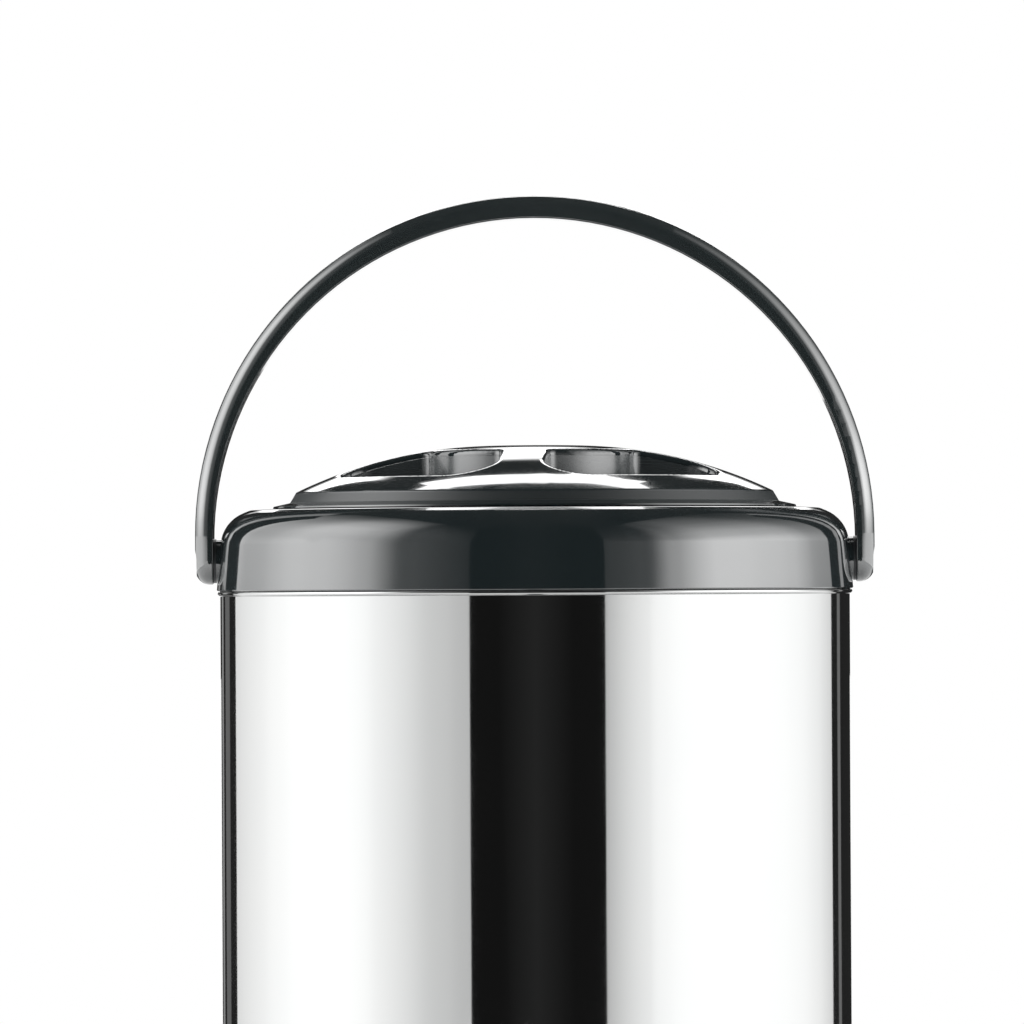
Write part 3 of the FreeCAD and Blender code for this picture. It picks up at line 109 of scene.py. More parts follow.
def add_node(tree, kind, settings=None, **inputs):
    node = tree.nodes.new(kind)
    for name, value in (settings or {}).items():
        setattr(node, name, value)
    for name, value in inputs.items():
        fill(tree, node.inputs[name.replace("_", " ")], value)
    return node


def fill(tree, socket, value):
    if isinstance(value, bpy.types.NodeSocket):
        tree.links.new(value, socket)
    else:
        socket.default_value = value


def mix_values(tree, factor, first, second):
    node = tree.nodes.new("ShaderNodeMix")
    node.data_type = "FLOAT"
    for index, value in ((0, factor), (2, first), (3, second)):
        fill(tree, node.inputs[index], value)
    return node.outputs[0]


def mix_colours(tree, factor, first, second):
    node = tree.nodes.new("ShaderNodeMix")
    node.data_type = "RGBA"
    for index, value in ((0, factor), (6, first), (7, second)):
        fill(tree, node.inputs[index], value)
    return node.outputs[2]


def remap(tree, value, low, high, to_low=0.0, to_high=1.0):
    node = add_node(tree, "ShaderNodeMapRange", Value=value, From_Min=low, From_Max=high)
    fill(tree, node.inputs["To Min"], to_low)
    fill(tree, node.inputs["To Max"], to_high)
    return node.outputs["Result"]


def arithmetic(tree, operation, first, second=0.0):
    node = tree.nodes.new("ShaderNodeMath")
    node.operation = operation
    fill(tree, node.inputs[0], first)
    fill(tree, node.inputs[1], second)
    return node.outputs[0]


def colour(red, green, blue):
    return (red, green, blue, 1.0)


# %% [markdown]
# Polished steel and glossy plastic show their surroundings, so the surroundings are part of the picture. The
# room is the world: white where the camera looks, and in reflections white only on a patch of the wall
# behind the barrel, which the flanks of the lid mirror. A flat white room would be simpler, but then steel
# looks like grey paint, because nothing dark is left to draw its shape.

# %% Make the pale room
WALL_FOOT = math.sin(math.radians(13))
WALL_FOOT_FADE = math.sin(math.radians(9))
WALL_TOP = math.sin(math.radians(27))
WALL_TOP_FADE = math.sin(math.radians(31))
WALL_SIDE = 0.30
WALL_SIDE_FADE = 0.42
DARK_ROOM = 0.02
FILL_LIGHT = 0.35

world = bpy.data.worlds.new("pale_room")
bpy.context.scene.world = world
world.use_nodes = True
room = world.node_tree
room.nodes.clear()
direction = add_node(room, "ShaderNodeTexCoord").outputs["Generated"]
parts = add_node(room, "ShaderNodeSeparateXYZ", Vector=direction).outputs
below = remap(room, parts["Z"], WALL_TOP, WALL_TOP_FADE, 1.0, 0.0)
above = remap(room, parts["Z"], WALL_FOOT_FADE, WALL_FOOT)
middle = remap(room, arithmetic(room, "ABSOLUTE", parts["X"]), WALL_SIDE, WALL_SIDE_FADE, 1.0, 0.0)
behind = arithmetic(room, "MULTIPLY", middle, arithmetic(room, "GREATER_THAN", parts["Y"], 0.0))
lit = arithmetic(room, "MULTIPLY", arithmetic(room, "MULTIPLY", below, above), behind)
wall = remap(room, lit, 0.0, 1.0, DARK_ROOM, 1.0)
path = add_node(room, "ShaderNodeLightPath").outputs
mirrored = arithmetic(room, "MAXIMUM", path["Is Glossy Ray"], path["Is Transmission Ray"])
strength = mix_values(room, mirrored, FILL_LIGHT, wall)
strength = mix_values(room, path["Is Camera Ray"], strength, 1.0)
background = add_node(room, "ShaderNodeBackground", Color=colour(1, 1, 1), Strength=strength)
add_node(room, "ShaderNodeOutputWorld", Surface=background.outputs["Background"])

# %% Lay the floor
FLOOR_SIDE = 60.0
FLOOR_SHADED_RADIUS = 0.3
FLOOR_WHITE_RADIUS = 0.75


def floor_material():
    material = bpy.data.materials.new("pale_floor")
    material.use_nodes = True
    tree = material.node_tree
    tree.nodes.clear()
    place = add_node(tree, "ShaderNodeTexCoord").outputs["Object"]
    reach = add_node(tree, "ShaderNodeVectorMath", {"operation": "LENGTH"}, Vector=place).outputs["Value"]
    far = remap(tree, reach, FLOOR_SHADED_RADIUS, FLOOR_WHITE_RADIUS)
    path = add_node(tree, "ShaderNodeLightPath").outputs
    seen = arithmetic(tree, "MAXIMUM", path["Is Camera Ray"], path["Is Glossy Ray"])
    seen = arithmetic(tree, "MAXIMUM", seen, path["Is Transmission Ray"])
    grain = add_node(tree, "ShaderNodeTexNoise", Vector=place, Scale=9.0, Detail=6.0).outputs["Fac"]
    paper = mix_colours(tree, grain, colour(0.80, 0.80, 0.80), colour(0.86, 0.86, 0.86))
    matt = add_node(tree, "ShaderNodeBsdfDiffuse", Color=paper)
    glow = add_node(tree, "ShaderNodeEmission", Color=colour(1, 1, 1), Strength=1.0)
    blend = add_node(tree, "ShaderNodeMixShader")
    fill(tree, blend.inputs[0], arithmetic(tree, "MULTIPLY", far, seen))
    fill(tree, blend.inputs[1], matt.outputs["BSDF"])
    fill(tree, blend.inputs[2], glow.outputs["Emission"])
    add_node(tree, "ShaderNodeOutputMaterial", Surface=blend.outputs["Shader"])
    return material


clear_selection()
bpy.ops.mesh.primitive_plane_add(size=FLOOR_SIDE, location=(0, 0, 0))
floor = bpy.context.object
floor.name = "studio_floor"
floor.data.materials.append(floor_material())

# %% [markdown]
# Two tall softboxes stand left and right. One lamp each would do for the light, but the photograph asks for
# two: the upright steel looks at the lowest part of a softbox, while the ring and the bail, which lean in or
# curve over, look above that, at a brighter part. So each side has a low lamp and a tall one above it. The
# level changes along a lamp, as the fabric of a real softbox does, and a tall lamp fades towards its top,
# sooner on the right. The stops across are written as the angle round the barrel at which the shell mirrors
# that place, counted from the front. The stops upward are shares of the lamp's height. A third lamp stands
# at the back and edges the lid.

# %% Hang the softboxes
SOFTBOX_DISTANCE = 1.1
SOFTBOX_FRONT = -2.6
SOFTBOX_BACK = 1.75
LOW_TIER = (0.0, 0.35)
HIGH_TIER = (0.35, 2.7)
EVEN = ((0.0, 1.0), (1.0, 1.0))


def level_ramp(tree, place, stops):
    """A level between 0 and 1 that changes along a lamp, on a smooth curve through its stops."""
    ramp = add_node(tree, "ShaderNodeValToRGB", Fac=place)
    ramp.color_ramp.interpolation = "CARDINAL"
    while len(ramp.color_ramp.elements) < len(stops):
        ramp.color_ramp.elements.new(0.5)
    for element, (position, level) in zip(ramp.color_ramp.elements, sorted(stops)):
        element.position = position
        element.color = (level, level, level, 1.0)
    return ramp.outputs["Color"]


def softbox(name, centre, aim, width, height, glow, across=EVEN, upward=EVEN):
    """A flat lamp whose level changes across its width and up its height."""
    lamp = bpy.data.lights.new(name, "AREA")
    lamp.shape = "RECTANGLE"
    lamp.size = width
    lamp.size_y = height
    lamp.energy = glow * math.pi * width * height
    lamp.use_nodes = True
    tree = lamp.node_tree
    spread = add_node(tree, "ShaderNodeNewGeometry").outputs["Parametric"]
    place = add_node(tree, "ShaderNodeSeparateXYZ", Vector=spread).outputs
    level_across = level_ramp(tree, place["X"], across)
    level_upward = level_ramp(tree, place["Y"], upward)
    level = mix_colours(tree, 1.0, level_across, level_upward)
    level.node.blend_type = "MULTIPLY"
    tree.links.new(level, tree.nodes["Emission"].inputs["Color"])
    holder = bpy.data.objects.new(name, lamp)
    bpy.context.scene.collection.objects.link(holder)
    holder.location = centre
    holder.rotation_euler = (Vector(aim) - Vector(centre)).to_track_quat("-Z", "Y").to_euler()
    holder.visible_camera = False
    return holder


def lamp_place(side, angle):
    """How far along a side lamp its part lies that is mirrored at an angle from the front."""
    along = -SOFTBOX_DISTANCE / math.tan(math.radians(angle))
    place = (along - SOFTBOX_FRONT) / (SOFTBOX_BACK - SOFTBOX_FRONT)
    return min(1.0, max(0.0, place if side > 0 else 1.0 - place))


LEFT_LOW_ANGLES = (
    (24, 0.46), (30, 0.51), (41, 0.62), (58, 0.87), (70, 1.0), (88, 1.0), (98, 0.96), (112, 0.85),
    (133, 0.67), (146, 0.60),
)
RIGHT_LOW_ANGLES = (
    (24, 0.42), (40, 0.80), (48, 0.95), (63, 1.0), (98, 0.97), (113, 0.87), (124, 0.73), (136, 0.55),
)
LEFT_HIGH_ANGLES = (
    (24, 0.03), (41, 0.09), (50, 0.17), (58, 0.56), (66, 0.80), (78, 1.0), (90, 1.0), (100, 0.85),
    (110, 0.62), (124, 0.44), (135, 0.44),
)
RIGHT_HIGH_ANGLES = (
    (24, 0.06), (36, 0.08), (42, 0.13), (47, 0.42), (53, 0.58), (64, 0.96), (72, 1.0), (83, 0.93), (98, 0.77),
    (106, 0.62), (116, 0.36), (130, 0.22),
)
LEFT_HIGH_FADE = (
    (0.0, 0.52), (0.03, 0.80), (0.08, 0.86), (0.16, 0.78), (0.30, 0.80), (0.45, 0.66), (0.70, 0.32),
    (1.0, 0.04),
)
RIGHT_HIGH_FADE = (
    (0.0, 0.42), (0.03, 0.76), (0.08, 0.84), (0.16, 0.60), (0.29, 0.42), (0.40, 0.28), (0.55, 0.16),
    (1.0, 0.04),
)
LOW_GLOW = 1.65
LEFT_HIGH_GLOW = 3.2
RIGHT_HIGH_GLOW = 3.9
SOFTBOXES = (
    (-1, "left_low", LOW_TIER, LOW_GLOW, LEFT_LOW_ANGLES, EVEN),
    (1, "right_low", LOW_TIER, LOW_GLOW, RIGHT_LOW_ANGLES, EVEN),
    (-1, "left_high", HIGH_TIER, LEFT_HIGH_GLOW, LEFT_HIGH_ANGLES, LEFT_HIGH_FADE),
    (1, "right_high", HIGH_TIER, RIGHT_HIGH_GLOW, RIGHT_HIGH_ANGLES, RIGHT_HIGH_FADE),
)
softbox_middle = (SOFTBOX_FRONT + SOFTBOX_BACK) / 2
for side, word, (bottom, top), glow, angles, upward in SOFTBOXES:
    centre = Vector((side * SOFTBOX_DISTANCE, softbox_middle, (bottom + top) / 2))
    across = [(lamp_place(side, angle), level) for angle, level in angles]
    aim = centre - Vector((side, 0, 0))
    length = SOFTBOX_BACK - SOFTBOX_FRONT
    softbox(f"softbox_{word}", centre, aim, length, top - bottom, glow, across, upward)

WALL_LAMP_BACK = 2.4
WALL_LAMP_WIDTH = 1.9
WALL_LAMP_FOOT = 0.80
WALL_LAMP_TOP = 1.80
WALL_LAMP_GLOW = 1.9
WALL_LAMP_ACROSS = ((0.0, 0.0), (0.25, 1.0), (0.75, 1.0), (1.0, 0.0))
WALL_LAMP_UPWARD = ((0.0, 0.0), (0.25, 1.0), (0.80, 1.0), (1.0, 0.0))
wall_lamp_middle = (WALL_LAMP_FOOT + WALL_LAMP_TOP) / 2
softbox(
    "wall_lamp",
    (0, WALL_LAMP_BACK, wall_lamp_middle),
    (0, 0, wall_lamp_middle),
    WALL_LAMP_WIDTH,
    WALL_LAMP_TOP - WALL_LAMP_FOOT,
    WALL_LAMP_GLOW,
    WALL_LAMP_ACROSS,
    WALL_LAMP_UPWARD,
)
print("softboxes:", len(SOFTBOXES), "lamps in all:", len(bpy.data.lights))

# %% [markdown]
# Cards do the rest. A black card at the front leaves the dark stripe between the two bright halves of the
# shell. Two wings behind draw the dark lines with a pale one between them down both edges. A bow of white
# card high behind puts the long bright lens on the lid. A lamp in its place would also light the floor, but
# the cards are only there to be mirrored, so nothing but reflections sees them.

# %% A helper for cards
def card_material(name, level, centre_level=None, half_width=1.0):
    """Evenly lit card, or one whose level rises in the middle of its width."""
    material = bpy.data.materials.new(name)
    material.use_nodes = True
    tree = material.node_tree
    tree.nodes.clear()
    strength = level
    if centre_level is not None:
        place = add_node(tree, "ShaderNodeTexCoord").outputs["Object"]
        across = add_node(tree, "ShaderNodeSeparateXYZ", Vector=place).outputs["X"]
        off_centre = arithmetic(tree, "ABSOLUTE", across)
        strength = remap(tree, off_centre, 0.0, half_width, centre_level, level)
    glow = add_node(tree, "ShaderNodeEmission", Color=colour(1, 1, 1), Strength=strength)
    add_node(tree, "ShaderNodeOutputMaterial", Surface=glow.outputs["Emission"])
    return material


def stand_card(name, corners, material):
    """A card is a plane whose four corners are pulled to their places."""
    clear_selection()
    bpy.ops.mesh.primitive_plane_add(size=1)
    board = bpy.context.object
    board.name = name
    for vertex, corner in zip(board.data.vertices, corners):
        vertex.co = corner
    board.data.materials.append(material)
    show_only_in_gloss(board)
    return board


def show_only_in_gloss(board):
    board.visible_camera = False
    board.visible_diffuse = False
    board.visible_shadow = False


def bounce(column, distance):
    """Where a level ray that the shell mirrors at a picture column crosses a circle round the barrel."""
    radius = shell_high.x
    turn = math.asin((column - BARREL_AXIS_PX) * metres_per_px / radius)
    start = Vector((radius * math.sin(turn), -radius * math.cos(turn)))
    way = Vector((math.sin(2 * turn), -math.cos(2 * turn)))
    along = start.dot(way)
    return start + way * (math.sqrt(along**2 - radius**2 + distance**2) - along)


# %% The black card at the front
STRIPE_LEFT_PX = 470
STRIPE_RIGHT_PX = 603.5
FRONT_CARD_DISTANCE = 1.35
FRONT_CARD_TOP = 2.7
FRONT_CARD_EDGE_LEVEL = 0.010
FRONT_CARD_MIDDLE_LEVEL = 0.026
FRONT_CARD_FADE = 0.28


def upright_corners(first, last, foot, top):
    """The four corners of a card that stands on a line between two places."""
    return ((*first, foot), (*last, foot), (*first, top), (*last, top))


left = bounce(STRIPE_LEFT_PX, FRONT_CARD_DISTANCE)
right = bounce(STRIPE_RIGHT_PX, FRONT_CARD_DISTANCE)
stand_card(
    "front_card",
    upright_corners(left, right, 0, FRONT_CARD_TOP),
    card_material("front_card", FRONT_CARD_EDGE_LEVEL, FRONT_CARD_MIDDLE_LEVEL, FRONT_CARD_FADE),
)
print("front card width:", round((right - left).length, 3))

# %% Dark flats behind the softboxes
FLAT_DISTANCE = SOFTBOX_DISTANCE + 0.05
FLAT_FRONT = SOFTBOX_FRONT - 0.2
FLAT_BACK = SOFTBOX_BACK + 0.1
for side, word in ((-1, "left"), (1, "right")):
    front = (side * FLAT_DISTANCE, FLAT_FRONT)
    back = (side * FLAT_DISTANCE, FLAT_BACK)
    stand_card(
        f"flat_{word}",
        upright_corners(front, back, 0, HIGH_TIER[1]),
        card_material(f"flat_{word}", DARK_ROOM),
    )

# %% The wings behind
WING_DISTANCE = 1.0
WING_SPLIT = 0.35
WING_TOP = 1.30
WING_DARK = 0.02
WINGS = (
    ("left_low", 0.0, WING_SPLIT, (
        (237.0, 230.5, WING_DARK), (230.5, 226.0, 0.16), (226.0, 224.0, WING_DARK),
        (224.0, 222.3, 0.28), (222.3, 221.2, WING_DARK),
    )),
    ("left_high", WING_SPLIT, WING_TOP, (
        (241.0, 230.0, WING_DARK), (230.0, 225.5, 0.45), (225.5, 221.0, WING_DARK),
    )),
    ("right_low", 0.0, WING_SPLIT, (
        (829.0, 835.0, WING_DARK), (835.0, 838.0, 0.20), (838.0, 848.8, WING_DARK),
    )),
    ("right_high", WING_SPLIT, WING_TOP, (
        (827.0, 836.0, WING_DARK), (836.0, 839.0, 0.45), (839.0, 849.0, WING_DARK),
    )),
)
for word, foot, top, stripes in WINGS:
    for number, (first_px, last_px, level) in enumerate(stripes, start=1):
        first = bounce(first_px, WING_DISTANCE)
        last = bounce(last_px, WING_DISTANCE)
        name = f"wing_{word}_{number}"
        stand_card(name, upright_corners(first, last, foot, top), card_material(name, level))

# %% The bow above the lid
BOW_RADIUS = 2.0
BOW_HALF_ANGLE = 26.0
BOW_LOW_EDGE = 43.0
BOW_HIGH_EDGE = 54.0
BOW_TIP = 31.0
BOW_STEPS = 24
BOW_LEVEL = 3.5
lid_middle = (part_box("lid_dome")[0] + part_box("lid_dome")[1]) / 2

clear_selection()
bpy.ops.mesh.primitive_grid_add(x_subdivisions=BOW_STEPS, y_subdivisions=1, size=2)
bow = bpy.context.object
bow.name = "overhead_bow"
for vertex in bow.data.vertices:
    share = vertex.co.x
    edge = BOW_HIGH_EDGE if vertex.co.y > 0 else BOW_LOW_EDGE
    climb = math.radians(edge - (edge - BOW_TIP) * share**2)
    aside = math.radians(BOW_HALF_ANGLE * share)
    level_reach = math.cos(climb)
    ray = Vector((level_reach * math.sin(aside), level_reach * math.cos(aside), math.sin(climb)))
    vertex.co = lid_middle + BOW_RADIUS * ray
bow.data.materials.append(card_material("overhead_bow", BOW_LEVEL))
show_only_in_gloss(bow)

# %% [markdown]
# Effects that several finishes share are node groups: ripple of a moulded skin, hairline scratches, settled
# dust, rubbed edges, lines left by brushing or turning. Each group is built once, with named inputs, and
# puts out a mask or a height. The shader itself stays in each material.

# %% Build the shared effects
def start_group(name, inputs, outputs):
    group = bpy.data.node_groups.new(name, "ShaderNodeTree")
    for socket, default in inputs:
        made = group.interface.new_socket(socket, in_out="INPUT", socket_type="NodeSocketFloat")
        made.default_value = default
    for socket in outputs:
        group.interface.new_socket(socket, in_out="OUTPUT", socket_type="NodeSocketFloat")
    entry = group.nodes.new("NodeGroupInput")
    leave = group.nodes.new("NodeGroupOutput")
    return group, entry.outputs, leave.inputs


def place_group(tree, group, **inputs):
    return add_node(tree, "ShaderNodeGroup", {"node_tree": group}, **inputs).outputs


def object_place(tree, stretch=(1, 1, 1), turn=(0, 0, 0)):
    place = add_node(tree, "ShaderNodeTexCoord").outputs["Object"]
    turned = tuple(math.radians(angle) for angle in turn)
    return add_node(tree, "ShaderNodeMapping", Vector=place, Rotation=turned, Scale=stretch).outputs["Vector"]


def noise(tree, vector, scale, detail=2.0, roughness=0.5):
    settings = {"Vector": vector, "Scale": scale, "Detail": detail, "Roughness": roughness}
    return add_node(tree, "ShaderNodeTexNoise", **settings).outputs["Fac"]


def ripple_group():
    """The slow waves of a moulded or rolled skin, with a finer orange peel over them."""
    group, taken, given = start_group("moulded ripple", [("Waves", 12.0), ("Peel", 700.0)], ["Height"])
    place = object_place(group)
    waves = noise(group, place, taken["Waves"], 1.0)
    peel = noise(group, place, taken["Peel"], 2.0)
    group.links.new(mix_values(group, 0.004, waves, peel), given["Height"])
    return group


def scratch_group():
    """Hairlines in three directions, each a narrow band cut from a noise that is stretched along it."""
    group, taken, given = start_group("hairline scratches", [("Density", 0.012)], ["Mask"])
    total = None
    for turn in ((0, 0, 20), (65, 10, 0), (30, 80, 110)):
        stretched = noise(group, object_place(group, (12, 420, 420), turn), 1.0, 0.0)
        off_centre = arithmetic(group, "ABSOLUTE", arithmetic(group, "SUBTRACT", stretched, 0.5))
        line = remap(group, off_centre, 0.0, taken["Density"], 1.0, 0.0)
        broken = remap(group, noise(group, object_place(group, turn=turn), 16.0, 3.0), 0.55, 0.7)
        line = arithmetic(group, "MULTIPLY", line, broken)
        total = line if total is None else arithmetic(group, "MAXIMUM", total, line)
    group.links.new(total, given["Mask"])
    return group


def dust_group():
    """Dust that settles on what faces up, in uneven drifts with single specks."""
    group, taken, given = start_group("settled dust", [("Amount", 0.3)], ["Mask"])
    facing = add_node(group, "ShaderNodeNewGeometry").outputs["Normal"]
    up = add_node(group, "ShaderNodeSeparateXYZ", Vector=facing).outputs["Z"]
    level = remap(group, up, 0.35, 1.0)
    place = object_place(group)
    drift = remap(group, noise(group, place, 26.0, 5.0, 0.6), 0.35, 0.75)
    specks = remap(group, noise(group, place, 900.0, 1.0), 0.66, 0.74)
    amount = arithmetic(group, "MULTIPLY", arithmetic(group, "MAXIMUM", drift, specks), level)
    group.links.new(arithmetic(group, "MULTIPLY", amount, taken["Amount"]), given["Mask"])
    return group


def edge_group():
    """Where an edge turns sharply, a rounded normal leaves the true one: that is where hands rub."""
    group, taken, given = start_group("rubbed edges", [("Width", 0.0012), ("Amount", 0.5)], ["Mask"])
    true_normal = add_node(group, "ShaderNodeNewGeometry").outputs["Normal"]
    round_normal = add_node(group, "ShaderNodeBevel", {"samples": 4}, Radius=taken["Width"]).outputs["Normal"]
    meet = add_node(group, "ShaderNodeVectorMath", {"operation": "DOT_PRODUCT"})
    fill(group, meet.inputs[0], true_normal)
    fill(group, meet.inputs[1], round_normal)
    sharp = remap(group, meet.outputs["Value"], 0.995, 0.85)
    patchy = remap(group, noise(group, object_place(group), 70.0, 4.0), 0.35, 0.65)
    rubbed = arithmetic(group, "MULTIPLY", sharp, patchy)
    group.links.new(arithmetic(group, "MULTIPLY", rubbed, taken["Amount"]), given["Mask"])
    return group


def grain_group():
    """The fine even grain of a satin moulding, with low cloudy changes in its sheen."""
    group, taken, given = start_group("satin grain", [("Scale", 1500.0)], ["Height", "Cloud"])
    place = object_place(group)
    group.links.new(noise(group, place, taken["Scale"], 3.0, 0.6), given["Height"])
    group.links.new(noise(group, place, 22.0, 4.0), given["Cloud"])
    return group


def turned_group():
    """Rings round the Z axis, as a lathe or a polishing wheel leaves them."""
    group, taken, given = start_group("turned rings", [("Scale", 900.0)], ["Height"])
    flat = object_place(group, (1, 1, 0))
    reach = add_node(group, "ShaderNodeVectorMath", {"operation": "LENGTH"}, Vector=flat).outputs["Value"]
    level = add_node(group, "ShaderNodeSeparateXYZ", Vector=object_place(group)).outputs["Z"]
    along = arithmetic(group, "ADD", reach, level)
    lines = add_node(group, "ShaderNodeTexNoise", {"noise_dimensions": "1D"}, W=along, Detail=3.0)
    group.links.new(taken["Scale"], lines.inputs["Scale"])
    group.links.new(lines.outputs["Fac"], given["Height"])
    return group


def foam_group():
    """Closed cells of rigid foam: small rounded hollows with thin walls and a few larger voids as a height,
    and a mask of painted shade that is darkest in the hollows.
    """
    group, taken, given = start_group("closed cells", [("Cells", 420.0)], ["Height", "Depth"])
    place = object_place(group)
    cells = add_node(group, "ShaderNodeTexVoronoi", Vector=place, Scale=taken["Cells"]).outputs["Distance"]
    voids = remap(group, noise(group, place, 90.0, 2.0), 0.62, 0.75)
    depth = arithmetic(group, "SUBTRACT", cells, arithmetic(group, "MULTIPLY", voids, 0.6))
    group.links.new(depth, given["Height"])
    # The second output is painted shade: 0 in the middle of each cell, its hollow, rising towards the rims.
    group.links.new(remap(group, cells, 0.0, 0.7), given["Depth"])
    return group


ripple = ripple_group()
scratches = scratch_group()
dust = dust_group()
rubbed_edges = edge_group()
satin_grain = grain_group()
turned_rings = turned_group()
closed_cells = foam_group()
print("shared effects:", len(bpy.data.node_groups))


# %% [markdown]
# Every finish starts from the same shader with its constant values set on the shader's own sockets. What
# varies over the surface is wired in afterwards: colour, roughness and a bump.

# %% Start a finish
def start_finish(name, **constants):
    material = bpy.data.materials.new(name)
    material.use_nodes = True
    tree = material.node_tree
    shader = tree.nodes["Principled BSDF"]
    for socket, value in constants.items():
        shader.inputs[socket.replace("_", " ")].default_value = value
    return material, tree, shader


def raise_bump(tree, shader, height, distance, strength=1.0):
    bump = add_node(tree, "ShaderNodeBump", Strength=strength, Distance=distance, Height=height)
    tree.links.new(bump.outputs["Normal"], shader.inputs["Normal"])
    return bump


# %% Polished and satin steel
def polished_steel():
    material, tree, shader = start_finish("polished_steel", Metallic=1.0)
    clouds = noise(tree, object_place(tree), 14.0, 4.0)
    hairlines = place_group(tree, scratches, Density=0.008)["Mask"]
    film = place_group(tree, dust, Amount=0.3)["Mask"]
    tint = mix_colours(tree, clouds, colour(0.590, 0.600, 0.600), colour(0.620, 0.622, 0.615))
    fill(tree, shader.inputs["Base Color"], mix_colours(tree, film, tint, colour(0.50, 0.49, 0.47)))
    haze = remap(tree, clouds, 0.3, 0.7, 0.035, 0.06)
    haze = arithmetic(tree, "ADD", haze, arithmetic(tree, "MULTIPLY", hairlines, 0.10))
    haze = arithmetic(tree, "ADD", haze, arithmetic(tree, "MULTIPLY", film, 0.3))
    fill(tree, shader.inputs["Roughness"], haze)
    raise_bump(tree, shader, place_group(tree, ripple, Waves=9.0, Peel=900.0)["Height"], 0.00008)
    return material


def satin_steel(name, tone, rings_scale):
    material, tree, shader = start_finish(name, Metallic=1.0)
    rings = place_group(tree, turned_rings, Scale=rings_scale)["Height"]
    clouds = noise(tree, object_place(tree), 30.0, 4.0)
    rubbed = place_group(tree, rubbed_edges, Width=0.0006, Amount=0.6)["Mask"]
    darker = tuple(0.86 * part for part in tone)
    tint = mix_colours(tree, clouds, colour(*darker), colour(*tone))
    fill(tree, shader.inputs["Base Color"], mix_colours(tree, rubbed, tint, colour(0.72, 0.72, 0.71)))
    rough = remap(tree, rings, 0.3, 0.7, 0.22, 0.36)
    fill(tree, shader.inputs["Roughness"], rough)
    raise_bump(tree, shader, rings, 0.00004)
    return material


# %% Glossy and satin mouldings
def gloss_moulding(name, tone, waves, gloss=1.6, softness=0.02):
    material, tree, shader = start_finish(
        name, IOR=gloss, Specular_IOR_Level=1.0, Coat_Weight=1.0, Coat_IOR=gloss, Coat_Roughness=softness
    )
    clouds = noise(tree, object_place(tree), 18.0, 4.0)
    film = place_group(tree, dust, Amount=0.06)["Mask"]
    lighter = tuple(1.25 * part for part in tone)
    tint = mix_colours(tree, clouds, colour(*tone), colour(*lighter))
    fill(tree, shader.inputs["Base Color"], mix_colours(tree, film, tint, colour(0.30, 0.30, 0.28)))
    hairlines = place_group(tree, scratches, Density=0.008)["Mask"]
    haze = remap(tree, clouds, 0.3, 0.7, softness + 0.03, softness + 0.07)
    haze = arithmetic(tree, "ADD", haze, arithmetic(tree, "MULTIPLY", hairlines, 0.12))
    haze = arithmetic(tree, "ADD", haze, arithmetic(tree, "MULTIPLY", film, 0.5))
    fill(tree, shader.inputs["Roughness"], haze)
    raise_bump(tree, shader, place_group(tree, ripple, Waves=waves, Peel=800.0)["Height"], 0.00012)
    return material


def satin_moulding(name, tone, rough_low, rough_high, glow_through=0.0):
    material, tree, shader = start_finish(name, Subsurface_Weight=glow_through, Subsurface_Scale=0.004)
    grain = place_group(tree, satin_grain, Scale=1400.0)
    film = place_group(tree, dust, Amount=0.12)["Mask"]
    rubbed = place_group(tree, rubbed_edges, Width=0.0006, Amount=0.3)["Mask"]
    darker = tuple(0.85 * part for part in tone)
    lighter = tuple(min(1.0, 1.35 * part + 0.02) for part in tone)
    tint = mix_colours(tree, grain["Cloud"], colour(*darker), colour(*tone))
    tint = mix_colours(tree, rubbed, tint, colour(*lighter))
    fill(tree, shader.inputs["Base Color"], mix_colours(tree, film, tint, colour(0.42, 0.41, 0.38)))
    fill(tree, shader.inputs["Roughness"], remap(tree, grain["Cloud"], 0.3, 0.7, rough_low, rough_high))
    raise_bump(tree, shader, grain["Height"], 0.00005)
    return material


# %% [markdown]
# The lid is the same glossy moulding, but the steep side below its brow stays dark and even in the
# photograph. A full gloss there would mirror the side lamps. That side could be cut off as a piece of its
# own, yet it is one moulding with the dome. So the finish measures how far a point lies from the lid's axis,
# and inside one narrow band it is satin and has no coat.

# %% Dull the steep side of the lid
SATIN_ROUGHNESS = 0.42


def lid_moulding(tone, band_inside, band_outside, soft_edge):
    """The lid's gloss, with one band round its axis left as the tool made it, satin and without a coat."""
    material = gloss_moulding("lid_gloss", tone, 14.0)
    tree = material.node_tree
    shader = tree.nodes["Principled BSDF"]
    flat = object_place(tree, (1, 1, 0))
    reach = add_node(tree, "ShaderNodeVectorMath", {"operation": "LENGTH"}, Vector=flat).outputs["Value"]
    inside = remap(tree, reach, band_inside - soft_edge, band_inside + soft_edge)
    outside = remap(tree, reach, band_outside - soft_edge, band_outside + soft_edge, 1.0, 0.0)
    band = arithmetic(tree, "MULTIPLY", inside, outside)
    haze = shader.inputs["Roughness"].links[0].from_socket
    fill(tree, shader.inputs["Roughness"], mix_values(tree, band, haze, SATIN_ROUGHNESS))
    fill(tree, shader.inputs["Coat Weight"], mix_values(tree, band, 1.0, 0.0))
    return material


# %% [markdown]
# Rigid foam shows only when the barrel is taken apart. It is matt, and its colour carries painted shade:
# darker in the hollows of its cells and pale on their rims. A plain noise would look like sand, so cells are
# drawn, and one group gives both the mask of painted shade and the bump.

# %% Foam
def rigid_foam():
    material, tree, shader = start_finish("rigid_foam", Roughness=0.92)
    cells = place_group(tree, closed_cells)
    # Painted shade: the colour darkens from the pale cell rims into the hollows, where shade would fall.
    tint = mix_colours(tree, cells["Depth"], colour(0.60, 0.49, 0.28), colour(0.82, 0.74, 0.53))
    fill(tree, shader.inputs["Base Color"], tint)
    raise_bump(tree, shader, cells["Height"], 0.0006)
    return material


# %% [markdown]
# Now each solid gets its finish by name. One dark slate would do for all the mouldings, but the photograph
# shows three: the ring and lid are darkest, the bail is a little lighter and glossier, and the finger cups
# are softer, so that light pools in them.

